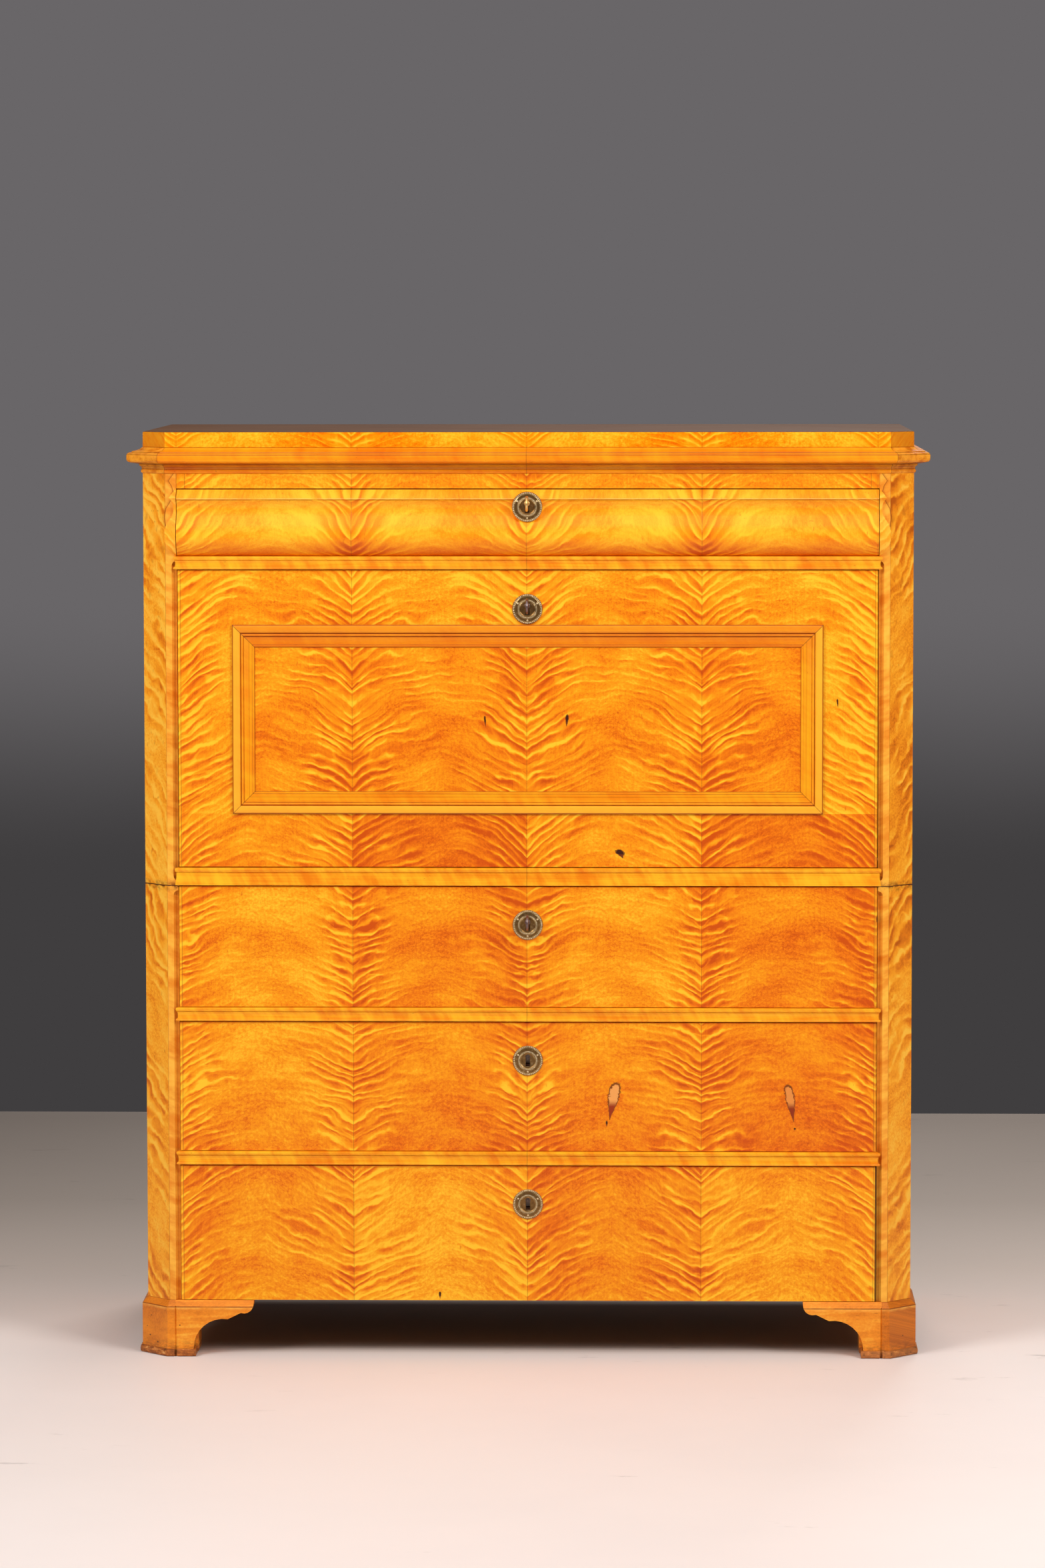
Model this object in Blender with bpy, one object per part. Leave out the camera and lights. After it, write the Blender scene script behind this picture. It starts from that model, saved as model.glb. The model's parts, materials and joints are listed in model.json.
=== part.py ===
"""Fall front secretaire in figured birch, built as an assembly of its real pieces.

Metres, +Z up. X runs to the right seen from the front, Y runs from the front to the back.
The shapes are drawn from the carcase's front plane, at y = 0, and the cabinet's own frame then
moves them so that the origin lies under the middle of the whole piece.
"""
from math import acos, asin, atan2, cos, degrees, pi, radians, sin, sqrt

import bmesh
import bpy
from mathutils import Matrix, Vector

# Carcase
CARCASE_WIDTH = 1.119
CARCASE_DEPTH = 0.520
CANT = 0.035                    # canted corner, measured along the front and along the side
POST_WIDTH = 0.051              # from the opening to the side
SIDE_THICKNESS = 0.022
BACK_THICKNESS = 0.012
POST_DEPTH = 0.0365
HOLLOW_RADIUS = 0.0070          # hollow worked along the inner edge of each post
HOLLOW_SIDES = 5
STOP_SWEEP = 75                 # degrees of ball at each end of the hollow
STOP_STEPS = 4
EDGE_EASE = 0.0005

# Heights of the front, from the floor up
FOOT_HEIGHT = 0.0815
BOTTOM_DRAWER_HEIGHT = 0.2000
DIVIDER_HEIGHT = 0.0206
MIDDLE_DRAWER_HEIGHT = 0.1905
TOP_DRAWER_HEIGHT = 0.1780
JOINT_RAIL_HEIGHT = 0.0265
FALL_OPENING_HEIGHT = 0.4332
FRIEZE_DIVIDER_HEIGHT = 0.0197
FRIEZE_DRAWER_HEIGHT = 0.0974
FRIEZE_RAIL_HEIGHT = 0.0216
CORNICE_HEIGHT = 0.0376
TOP_BOARD_THICKNESS = 0.0228

# Clearances
SEAT = 0.0003                   # gap between two pieces that touch
DRAWER_SIDE_GAP = 0.0010
DRAWER_TOP_GAP = 0.0012
DRAWER_FOOT_GAP = 0.0005
FALL_SIDE_GAP = 0.0015
FALL_END_GAP = 0.0010
CLOSING_GAP = 0.0007            # behind a drawer front or the fall, in front of what stops it
BACK_GAP = 0.0015               # between a drawer box and the carcase back
OVERRUN = 0.0100                # how far a cutter runs past what it cuts
SINK = 0.0020                   # how far a piece runs into the one it is joined with

# Mouldings
CORNICE_PROUD = 0.0228
DIVIDER_PROUD = 0.0048
JOINT_PROUD = 0.0048
TOP_EDGE = 0.0012
RAIL_DEPTH = 0.060
BOARD_THICKNESS = 0.018
DUST_BOARD_THICKNESS = 0.012
DESK_BOARD_THICKNESS = 0.026

# Heights and projections, as shares of each moulding's own height and projection
CORNICE_SHARES = (
    (0.000, 0.03), (0.025, 0.08), (0.080, 0.115), (0.138, 0.085), (0.154, 0.045),
    (0.175, 0.045), (0.230, 0.08), (0.277, 0.14), (0.298, 0.215), (0.356, 0.215),
    (0.380, 0.45), (0.415, 0.77), (0.442, 0.90), (0.495, 0.98), (0.570, 1.00),
    (0.690, 1.00), (0.755, 0.96), (0.795, 0.87), (0.803, 0.70), (0.848, 0.66),
    (0.868, 0.42), (0.910, 0.22), (0.963, 0.10), (1.000, 0.03))
DIVIDER_SHARES = (
    (0.000, 0.15), (0.030, 0.85), (0.110, 0.97), (0.175, 0.80), (0.215, 0.45),
    (0.330, 0.33), (0.480, 0.33), (0.600, 0.42), (0.660, 0.55), (0.690, 0.45),
    (0.735, 0.85), (0.850, 1.00), (0.960, 0.85), (1.000, 0.15))
JOINT_SHARES = (
    (0.000, 0.20), (0.025, 0.80), (0.100, 0.85), (0.230, 0.70), (0.400, 0.54),
    (0.560, 0.50), (0.700, 0.48), (0.740, 0.42), (0.775, 0.85), (0.870, 1.00),
    (0.965, 0.85), (1.000, 0.15))

# Frieze drawer: a sloping top, an arris, a hollow and a swelling below it
SWELL_PROUD = 0.0165
SWELL_LEVEL = 0.0305            # height of the fullest point over the drawer's lower edge
WAIST_PROUD = 0.0034
WAIST_LEVEL = 0.0680
ARRIS_PROUD = 0.0103
ARRIS_DROP = 0.0135             # from the drawer's top edge down to the arris
FLUSH_PROUD = 0.0006            # where the profile starts and ends, flush with the carcase
SWELL_STEPS = 9
HOLLOW_STEPS = 6

# Drawer fronts and boxes
FRONT_THICKNESS = 0.022
BOX_WALL = 0.012
BOX_BOTTOM = 0.008
BOX_TOP_GAP = 0.010             # from the top of a box to what is over it
GUIDE_HEIGHT = 0.025

# Feet
PLINTH_PROUD = 0.008
PLINTH_CHAMFER = 0.009
FOOT_BOARD = 0.022              # how far the foot reaches in behind the carcase plane
BRACKET_REACH = 0.114           # from the joint beside the cant to the bracket's tip
BRACKET_JOINT = 0.0089          # from the cant's edge to the bracket's joint
LEG_WIDTH = 0.026
BRACKET_HOLLOW = 0.0435         # radius of the hollow beside the leg
BRACKET_HOLLOW_LEVEL = 0.0115
BRACKET_LOBE = 0.014            # radius of the lobe at the bracket's tip
BRACKET_TIP = 0.0046            # straight edge over the lobe
SHOE_HEIGHT = 0.0103
SHOE_PROUD = 0.0034
JOINT_GROOVE = 0.0024
SHOE_NOTCH = 0.0040
GLUE_BLOCK = 0.075
REAR_BRACE = 0.090
SHOE_SHARES = ((0.0, 0.6), (0.15, 0.92), (0.5, 1.0), (0.85, 0.8), (1.0, 0.12))

# Fall
PANEL_MOULDING_WIDTH = 0.0325
PANEL_MOULDING_HEIGHT = 0.0050
PANEL_MOULDING_INSET = 0.0803   # from the opening's side to the moulding
PANEL_MOULDING_DROP = 0.0799    # from the opening's top down to the moulding
PANEL_MOULDING_LIFT = 0.0787    # from the opening's foot up to the moulding
PANEL_SHARES = (
    (0.00, 0.60), (0.06, 0.86), (0.17, 1.00), (0.28, 0.92), (0.355, 0.66), (0.375, 0.42),
    (0.40, 0.72), (0.445, 0.82), (0.49, 0.68), (0.51, 0.42), (0.54, 0.62), (0.64, 0.40),
    (0.76, 0.26), (0.89, 0.20), (0.90, 0.32), (0.99, 0.30), (1.00, 0.10))
WRITING_THICKNESS = 0.0015
WRITING_INSET = 0.075
WRITING_LIFT = 0.055
WRITING_LOCK_GAP = 0.020        # from the writing surface up to the lock

# Pivots and quadrant stays of the fall
PIVOT_RADIUS = 0.0030
PIVOT_REACH = 0.0110
PIVOT_CLEARANCE = 0.0004
TROUGH_CLEARANCE = 0.0005
STAY_RADIUS = 0.190
STAY_WIDTH = 0.014
STAY_THICKNESS = 0.0035
STAY_PIN_RADIUS = 0.0030
STAY_PIN_REACH = 0.0110
STRAP_WIDTH = 0.0120
STAY_SLOT = 0.0105              # slot between the post and the lining
STAY_NOTCH_CLEARANCE = 0.0040
STAY_STEPS = 18
STAY_END_STEPS = 8

# Interior fitting
LINING_THICKNESS = 0.012
FITTING_SETBACK = 0.200         # from the closed fall to the fitting
SHELF_THICKNESS = 0.010
PARTITION_THICKNESS = 0.008
SMALL_DRAWER_HEIGHT = 0.092
PIGEONHOLE_HEIGHT = 0.160
CENTRE_HOLE_WIDTH = 0.300
SMALL_DRAWER_BACK_ROOM = 0.0258
SMALL_FRONT = 0.012
SMALL_WALL = 0.007
SMALL_GAP = 0.0010
SCALLOP_DEPTH = 0.030
SCALLOP_STEPS = 8
SMALL_DRAWERS = ("left", "centre", "right")
KNOB_RADIUS = 0.0090
KNOB_LENGTH = 0.0170
KNOB_SHARES = (
    (0.00, 0.72), (0.10, 0.74), (0.16, 0.42), (0.38, 0.36), (0.55, 0.72), (0.72, 1.00),
    (0.88, 0.88), (1.00, 0.36))
KNOB_SIDES = 14

# Locks, escutcheons and keys
ESCUTCHEON_RADIUS = 0.0220
ESCUTCHEON_HEIGHT = 0.0026
ESCUTCHEON_DROP = 0.0570        # from a front's top edge to the escutcheon's middle
FRIEZE_ESCUTCHEON_DROP = 0.0260
ESCUTCHEON_SIDES = 28
ESCUTCHEON_SHARES = (
    (0.510, 0.52), (0.545, 0.82), (0.615, 0.82), (0.655, 0.52), (0.845, 0.58),
    (0.885, 0.98), (0.965, 0.98), (1.000, 0.52), (1.000, 0.00))
BOSS_PROUD = 0.0112
KEY_LIFT = 0.0055               # from the escutcheon's middle up to the key's axis
KEYHOLE_HEAD = 0.0037
KEYHOLE_WIDTH = 0.0054
KEYHOLE_FOOT_WIDTH = 0.0062
KEYHOLE_LENGTH = 0.0160
KEYHOLE_CLEARANCE = 0.0005
KEYHOLE_STEPS = 8
KEY_SHANK = 0.0028
ROD_SIDES = 12
KEY_STANDOUT = 0.0110           # shank between the escutcheon and the bow
KEY_COLLAR = 0.0042
KEY_COLLAR_LENGTH = 0.0035
BOW_HEIGHT = 0.0230
BOW_LENGTH = 0.0240
BOW_WIRE = 0.0022
BOW_SIDES = 16
BOW_WIRE_SIDES = 8
BIT_LENGTH = 0.0100
BIT_WIDTH = 0.0055
BIT_THICKNESS = 0.0028
LOCK_WIDTH = 0.066
LOCK_SET = 0.0105               # from the front plane in to the lock case
LOCK_MARGIN = 0.008
LOCK_GAP = 0.0003
SELVEDGE_WIDTH = 0.078
SELVEDGE_SET = 0.0085
SELVEDGE_THICKNESS = 0.0022
BIT_ROOM = 0.0125
BIT_ROOM_DEPTH = 0.0090
BIT_ROOM_SIDES = 20
BOLT_WIDTH = 0.0160
BOLT_THICKNESS = 0.0055
BOLT_HEIGHT = 0.0240
BOLT_SET = 0.0130
BOLT_GAP = 0.0005
FRIEZE_BOLT_SHIFT = -0.0225     # beside the key, where the lock is shallow
MORTISE_CLEARANCE = 0.0015
MORTISE_DEPTH = 0.0100

# Backs
LOWER_BACK_BOARDS = 3
UPPER_BACK_BOARDS = 4
BACK_JOINT = 0.0020             # width and depth of the open joints between the boards

# Derived plan
half_width = CARCASE_WIDTH / 2
half_opening = half_width - POST_WIDTH
cant_edge = half_width - CANT
side_inner = half_width - SIDE_THICKNESS
back_inner = CARCASE_DEPTH - BACK_THICKNESS
half_front = half_opening - DRAWER_SIDE_GAP
half_fall = half_opening - FALL_SIDE_GAP
lining_outer = half_opening - STAY_SLOT
lining_inner = lining_outer - LINING_THICKNESS
fitting_front = FRONT_THICKNESS + FITTING_SETBACK

# Derived levels
z_lower_divider = FOOT_HEIGHT + BOTTOM_DRAWER_HEIGHT
z_middle_drawer = z_lower_divider + DIVIDER_HEIGHT
z_upper_divider = z_middle_drawer + MIDDLE_DRAWER_HEIGHT
z_top_drawer = z_upper_divider + DIVIDER_HEIGHT
z_joint = z_top_drawer + TOP_DRAWER_HEIGHT
z_fall = z_joint + JOINT_RAIL_HEIGHT
z_frieze_divider = z_fall + FALL_OPENING_HEIGHT
z_frieze_drawer = z_frieze_divider + FRIEZE_DIVIDER_HEIGHT
z_frieze_rail = z_frieze_drawer + FRIEZE_DRAWER_HEIGHT
z_cornice = z_frieze_rail + FRIEZE_RAIL_HEIGHT
z_top_board = z_cornice + CORNICE_HEIGHT
z_top = z_top_board + TOP_BOARD_THICKNESS

# Derived places of the fall: it turns about the middle of its thickness
fall_foot = z_fall + FALL_END_GAP
fall_head = z_frieze_divider - FALL_END_GAP
pivot_y = FRONT_THICKNESS / 2
pivot_z = fall_foot + FRONT_THICKNESS / 2
desk_top = fall_foot + FRONT_THICKNESS
trough_radius = FRONT_THICKNESS / sqrt(2) + TROUGH_CLEARANCE
stay_near = STAY_RADIUS - STAY_WIDTH / 2
stay_far = STAY_RADIUS + STAY_WIDTH / 2

# The key in the frieze drawer reaches furthest forward
key_reach = ESCUTCHEON_HEIGHT + KEY_STANDOUT + BOW_LENGTH
front_reach = BOSS_PROUD + SEAT + key_reach
front_plane_y = (front_reach - CARCASE_DEPTH) / 2

# Finishes: colour, roughness, metallic
BIRCH = ((0.78, 0.36, 0.055), 0.28, 0.0)
BIRCH_POST = ((0.74, 0.34, 0.055), 0.30, 0.0)
BIRCH_MOULDING = ((0.70, 0.29, 0.040), 0.28, 0.0)
BIRCH_FOOT = ((0.62, 0.25, 0.040), 0.36, 0.0)
BIRCH_INSIDE = ((0.66, 0.36, 0.11), 0.40, 0.0)
PINE = ((0.62, 0.40, 0.18), 0.62, 0.0)
LEATHER = ((0.10, 0.045, 0.020), 0.55, 0.0)
BRASS = ((0.36, 0.24, 0.09), 0.38, 1.0)
IRON = ((0.20, 0.19, 0.18), 0.42, 1.0)
STEEL_KEY = ((0.62, 0.55, 0.50), 0.30, 1.0)
BRASS_KEY = ((0.72, 0.58, 0.32), 0.28, 1.0)

frames = {}


# Shapes

def finish_shape(shape):
    """Turn a shape's faces outwards."""
    shape.normal_update()
    bmesh.ops.recalc_face_normals(shape, faces=shape.faces)
    return shape


def loft(rings, wrap=False):
    """Skin rings of equal length, capped at both ends unless the last meets the first."""
    shape = bmesh.new()
    loops = [[shape.verts.new(point) for point in ring] for ring in rings]
    count = len(loops[0])
    following = loops[1:] + loops[:1] if wrap else loops[1:]
    for lower, upper in zip(loops, following):
        for index in range(count):
            after = (index + 1) % count
            shape.faces.new((lower[index], lower[after], upper[after], upper[index]))
    if not wrap:
        shape.faces.new(loops[0])
        shape.faces.new(loops[-1])
    return finish_shape(shape)


def block(x, y, z):
    """A box between the two bounds given for each axis."""
    shape = bmesh.new()
    bmesh.ops.create_cube(shape, size=1)
    size = Vector((x[1] - x[0], y[1] - y[0], z[1] - z[0]))
    middle = Vector((x[1] + x[0], y[1] + y[0], z[1] + z[0])) / 2
    shape.transform(Matrix.Translation(middle) @ Matrix.Diagonal(size).to_4x4())
    return shape


def board(x, y, z):
    """A box that keeps half a seat's gap to each neighbour."""
    inset = SEAT / 2
    return block(*((low + inset, high - inset) for low, high in (x, y, z)))


def prism(outline, axis, low, high):
    """An outline in the two other axes, taken in their order, run along one axis."""
    def point(pair, along):
        first, second = pair
        return {"x": (along, first, second), "y": (first, along, second),
                "z": (first, second, along)}[axis]
    return loft([[point(pair, along) for pair in outline] for along in (low, high)])


def arc(centre, radius, start, end, steps):
    """Points on an arc, by angles in degrees."""
    angles = [radians(start + (end - start) * step / steps) for step in range(steps + 1)]
    return [(centre[0] + radius * cos(angle), centre[1] + radius * sin(angle)) for angle in angles]


def turned(profile, sides, axis, centre):
    """Turn a profile of (radius, height) about an axis through a point, from pole to pole.

    The sides' flats, not their corners, face the two other axes.
    """
    shape = bmesh.new()
    points = [shape.verts.new((radius, 0, height)) for radius, height in profile]
    edges = [shape.edges.new(pair) for pair in zip(points, points[1:])]
    bmesh.ops.spin(shape, geom=points + edges, cent=(0, 0, 0), axis=(0, 0, 1),
                   angle=2 * pi, steps=sides, use_merge=True)
    bmesh.ops.remove_doubles(shape, verts=shape.verts, dist=SEAT / 30)
    turn = {"x": Matrix.Rotation(pi / 2, 4, "Y"), "y": Matrix.Rotation(-pi / 2, 4, "X"),
            "-y": Matrix.Rotation(pi / 2, 4, "X")}
    shape.transform(Matrix.Translation(centre) @ turn[axis] @ Matrix.Rotation(pi / sides, 4, "Z"))
    return finish_shape(shape)


def rod(radius, length, axis, start):
    """A plain round rod from a point along an axis."""
    return turned([(0, 0), (radius, 0), (radius, length), (0, length)], ROD_SIDES, axis, start)


def mapped(shape, move):
    """A shape with each point moved by a function, turned outwards again."""
    for vert in shape.verts:
        vert.co = move(vert.co)
    return finish_shape(shape)


def mirrored(shape):
    """The shape for the other side of the cabinet."""
    return mapped(shape.copy(), lambda co: Vector((-co.x, co.y, co.z)))


def combined(shape, tool, operation):
    """Cut a tool out of a shape, or join it on."""
    pair = []
    for part in (shape, tool):
        mesh = bpy.data.meshes.new("shape")
        part.to_mesh(mesh)
        part.free()
        pair.append(bpy.data.objects.new("shape", mesh))
        bpy.context.scene.collection.objects.link(pair[-1])
    piece, cutter = pair
    modifier = piece.modifiers.new("cut", "BOOLEAN")
    modifier.operation = operation
    modifier.object = cutter
    graph = bpy.context.evaluated_depsgraph_get()
    result = bmesh.new()
    result.from_object(piece, graph)
    for part in pair:
        mesh = part.data
        bpy.data.objects.remove(part)
        bpy.data.meshes.remove(mesh)
    return result


def cut(shape, *tools):
    """A shape with every tool cut out of it."""
    for tool in tools:
        shape = combined(shape, tool, "DIFFERENCE")
    return shape


def joined(shape, *others):
    """A shape with others grown onto it."""
    for other in others:
        shape = combined(shape, other, "UNION")
    return shape


# Placing

def add_frame(name, origin=(0, 0, 0), parent=None):
    """An empty that carries the pieces that move together, at their joint's axis."""
    empty = bpy.data.objects.new(name, None)
    bpy.context.scene.collection.objects.link(empty)
    base = Vector()
    if parent:
        empty.parent = frames[parent][0]
        base = frames[parent][1]
    empty.location = Vector(origin) - base
    frames[name] = (empty, Vector(origin))


def add_piece(name, shape, finish, frame="cabinet", sharp=35):
    """Make a shape an object with its own material and hang it in its frame."""
    empty, origin = frames[frame]
    shape.transform(Matrix.Translation(-origin))
    mesh = bpy.data.meshes.new(name)
    shape.to_mesh(mesh)
    shape.free()
    mesh.shade_smooth()
    mesh.set_sharp_from_angle(angle=radians(sharp))
    colour, roughness, metallic = finish
    material = bpy.data.materials.new(name + "_finish")
    material.use_nodes = True
    shader = material.node_tree.nodes["Principled BSDF"]
    shader.inputs["Base Color"].default_value = (*colour, 1)
    shader.inputs["Roughness"].default_value = roughness
    shader.inputs["Metallic"].default_value = metallic
    mesh.materials.append(material)
    piece = bpy.data.objects.new(name, mesh)
    piece.parent = empty
    bpy.context.scene.collection.objects.link(piece)
    return piece


# Outlines shared by several pieces

def offset_path(path, distance):
    """A path moved sideways, to its right, with mitred corners."""
    normals = []
    for start, end in zip(path, path[1:]):
        run = Vector((end[0] - start[0], end[1] - start[1])).normalized()
        normals.append(Vector((run.y, -run.x)))
    moved = []
    for index, point in enumerate(path):
        near = [normals[i] for i in (index - 1, index) if 0 <= i < len(normals)]
        mitre = sum(near, Vector((0, 0))).normalized()
        moved.append(Vector(point) + mitre * (distance / mitre.dot(near[0])))
    return moved


def swept(path, profile):
    """Run a closed profile of (projection, height) along a path, mitred at its corners."""
    lines = [offset_path(path, projection) for projection, height in profile]
    return loft([[(line[index].x, line[index].y, height)
                  for line, (projection, height) in zip(lines, profile)]
                 for index in range(len(path))])


def corner_path(start_x, end_y):
    """The carcase's right front corner: front, cant and side."""
    return [(start_x, 0), (cant_edge, 0), (half_width, CANT), (half_width, end_y)]


def carcase_path(back):
    """The carcase's outline from the left rear corner round the front to the right rear."""
    right = [(cant_edge, 0), (half_width, CANT), (half_width, back)]
    return [(-x, y) for x, y in reversed(right)] + right


def case_plan(front, back):
    """A board that fits between the posts in front and between the sides behind them."""
    inset = SEAT / 2
    notch = POST_DEPTH + SEAT
    right = [(half_opening - inset, front), (half_opening - inset, notch),
             (side_inner - inset, notch), (side_inner - inset, back)]
    return right + [(-x, y) for x, y in reversed(right)]


def moulded_rail(z, height, shares, proud, plan):
    """A rail whose front moulding returns on itself at both ends.

    Each level is the rail's plan with a bar in front of it. The bar's ends stand out sideways as
    far as the moulding stands out forwards, which is what a mitred return shows.
    """
    rings = []
    for height_share, proud_share in shares:
        out = proud_share * proud
        level = z + SEAT / 2 + height_share * (height - SEAT)
        bar = [(-half_opening - out, -SEAT / 2), (-half_opening - out, -SEAT / 2 - out),
               (half_opening + out, -SEAT / 2 - out), (half_opening + out, -SEAT / 2)]
        rings.append([(x, y, level) for x, y in plan + bar])
    return loft(rings)


def rail_plan(depth):
    """The part of a rail between the posts."""
    edge = half_opening - SEAT / 2
    return [(edge, -SEAT / 2), (edge, depth), (-edge, depth), (-edge, -SEAT / 2)]


def frieze_profile():
    """Points (height, projection) of the frieze drawer's face, from its foot to its head.

    The swelling is an arc through the foot and the fullest point. The hollow is an arc that
    touches it and has its deepest point at the waist.
    """
    swell = (SWELL_LEVEL ** 2 + SWELL_PROUD ** 2) / (2 * SWELL_PROUD)
    rise = WAIST_LEVEL - SWELL_LEVEL
    drop = swell - SWELL_PROUD + WAIST_PROUD
    hollow = (rise ** 2 + drop ** 2 - swell ** 2) / (2 * (swell - drop))
    meeting = atan2(drop + hollow, rise)
    foot = atan2(swell - SWELL_PROUD, -SWELL_LEVEL)
    head_level = FRIEZE_DRAWER_HEIGHT - ARRIS_DROP
    points = []
    for step in range(SWELL_STEPS + 1):
        angle = foot + (meeting - foot) * step / SWELL_STEPS
        points.append((SWELL_LEVEL + swell * cos(angle), SWELL_PROUD - swell + swell * sin(angle)))
    turn = asin((head_level - WAIST_LEVEL) / hollow)
    for step in range(1, HOLLOW_STEPS + 1):
        start = meeting - pi / 2
        angle = start + (turn - start) * step / HOLLOW_STEPS
        points.append((WAIST_LEVEL + hollow * sin(angle), WAIST_PROUD + hollow - hollow * cos(angle)))
    points[-1] = (head_level, ARRIS_PROUD)
    points[0] = (0, FLUSH_PROUD)
    points.append((FRIEZE_DRAWER_HEIGHT, FLUSH_PROUD))
    return points


def keyhole_outline(clearance):
    """Round head over a slot, about the key's axis, as (x, z)."""
    head = KEYHOLE_HEAD + clearance
    neck = KEYHOLE_WIDTH / 2 + clearance
    foot = KEYHOLE_FOOT_WIDTH / 2 + clearance
    spread = asin(neck / head) * 180 / pi
    around = arc((0, 0), head, spread - 90, 270 - spread, KEYHOLE_STEPS)
    bottom = -KEYHOLE_LENGTH - clearance
    return [(foot, bottom)] + around + [(-foot, bottom)]


def keyhole_cutter(key_z, clearance, front, back):
    """The keyhole as a solid, from front to back."""
    outline = [(x, key_z + z) for x, z in keyhole_outline(clearance)]
    return prism(outline, "y", front, back)


# Feet

def bracket_cutter():
    """What is sawn away under a front bracket, right of the middle."""
    joint = cant_edge - BRACKET_JOINT
    tip = joint - BRACKET_REACH
    leg = joint - LEG_WIDTH
    hollow = arc((leg - BRACKET_HOLLOW, BRACKET_HOLLOW_LEVEL), BRACKET_HOLLOW, 0, 99, 8)
    lobe = arc((tip + BRACKET_LOBE, FOOT_HEIGHT - BRACKET_TIP), BRACKET_LOBE, -70, -180, 5)
    outline = [(leg, -OVERRUN)] + hollow + lobe + [
        (tip - OVERRUN, FOOT_HEIGHT - BRACKET_TIP), (tip - OVERRUN, -OVERRUN)]
    return prism(outline, "y", -PLINTH_PROUD - OVERRUN, FOOT_BOARD + SINK / 2)


def joint_cutter():
    """The open joint between bracket and corner block, wider through the shoe."""
    joint = cant_edge - BRACKET_JOINT
    face = -PLINTH_PROUD
    mouth = JOINT_GROOVE / 2
    groove = prism([(joint - mouth, face - OVERRUN), (joint - mouth, face),
                    (joint, face + JOINT_GROOVE), (joint + mouth, face),
                    (joint + mouth, face - OVERRUN)], "z", -OVERRUN, FOOT_HEIGHT + OVERRUN)
    notch = block((joint - SHOE_NOTCH / 2, joint + SHOE_NOTCH / 2),
                  (face - OVERRUN, face + SEAT), (-OVERRUN, SHOE_HEIGHT + SEAT))
    return notch, groove


def across_corner(shape):
    """The same shape on the cabinet's side, mirrored in the cant."""
    return mapped(shape.copy(), lambda co: Vector((half_width - co.y, half_width - co.x, co.z)))


def foot_profile(start):
    """The foot's section: a board with a chamfered head, from its foot up."""
    head = FOOT_HEIGHT - SEAT / 2
    return [(-FOOT_BOARD, start), (PLINTH_PROUD, start), (PLINTH_PROUD, head - PLINTH_CHAMFER),
            (0, head), (-FOOT_BOARD, head)]


def shoe_profile():
    """The shoe's section: a low rounded strip under the leg."""
    bead = [(PLINTH_PROUD + out * SHOE_PROUD, up * SHOE_HEIGHT) for up, out in SHOE_SHARES]
    return [(SINK - FOOT_BOARD, 0)] + bead + [(SINK - FOOT_BOARD, SHOE_HEIGHT)]


def front_foot():
    """Right front foot: two brackets that meet in a canted block, on a shoe."""
    joint = cant_edge - BRACKET_JOINT
    reach = half_width - joint
    shape = swept(corner_path(joint - BRACKET_REACH, reach + BRACKET_REACH), foot_profile(SINK))
    cutters = [bracket_cutter()]
    cutters.append(across_corner(cutters[0]))
    shape = cut(shape, *cutters)
    near = joint - LEG_WIDTH
    glue = block((half_width - GLUE_BLOCK, side_inner + SINK),
                 (FOOT_BOARD - SINK, GLUE_BLOCK), (SINK, FOOT_HEIGHT - SEAT / 2))
    shoe = swept(corner_path(near - SHOE_PROUD, reach + LEG_WIDTH + SHOE_PROUD), shoe_profile())
    shape = joined(shape, glue, shoe)
    for tool in joint_cutter():
        other = across_corner(tool)
        shape = cut(shape, tool, other)
    return shape


def rear_foot():
    """Right rear foot: the side bracket turned about, with a brace along the back."""
    joint = cant_edge - BRACKET_JOINT
    reach = half_width - joint
    span = reach + BRACKET_REACH
    path = [(half_width, CARCASE_DEPTH - span), (half_width, CARCASE_DEPTH)]
    shape = swept(path, foot_profile(SINK))
    sawn = across_corner(bracket_cutter())
    sawn = mapped(sawn, lambda co: Vector((co.x, CARCASE_DEPTH - co.y, co.z)))
    brace = block((half_width - REAR_BRACE, side_inner + SINK),
                  (CARCASE_DEPTH - FOOT_BOARD, CARCASE_DEPTH - SEAT), (SINK, FOOT_HEIGHT - SEAT / 2))
    glue = block((half_width - GLUE_BLOCK, side_inner + SINK),
                 (CARCASE_DEPTH - GLUE_BLOCK, CARCASE_DEPTH - SINK),
                 (SINK, FOOT_HEIGHT - SEAT / 2))
    shoe_path = [(half_width, CARCASE_DEPTH - reach - LEG_WIDTH - SHOE_PROUD),
                 (half_width, CARCASE_DEPTH - SEAT / 2)]
    return joined(cut(shape, sawn), glue, brace, swept(shoe_path, shoe_profile()))


def make_feet():
    """Four feet, the left ones mirrored."""
    for place, shape in (("front", front_foot()), ("rear", rear_foot())):
        add_piece(f"foot_{place}_left", mirrored(shape), BIRCH_FOOT)
        add_piece(f"foot_{place}_right", shape, BIRCH_FOOT)


# Carcase

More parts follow.
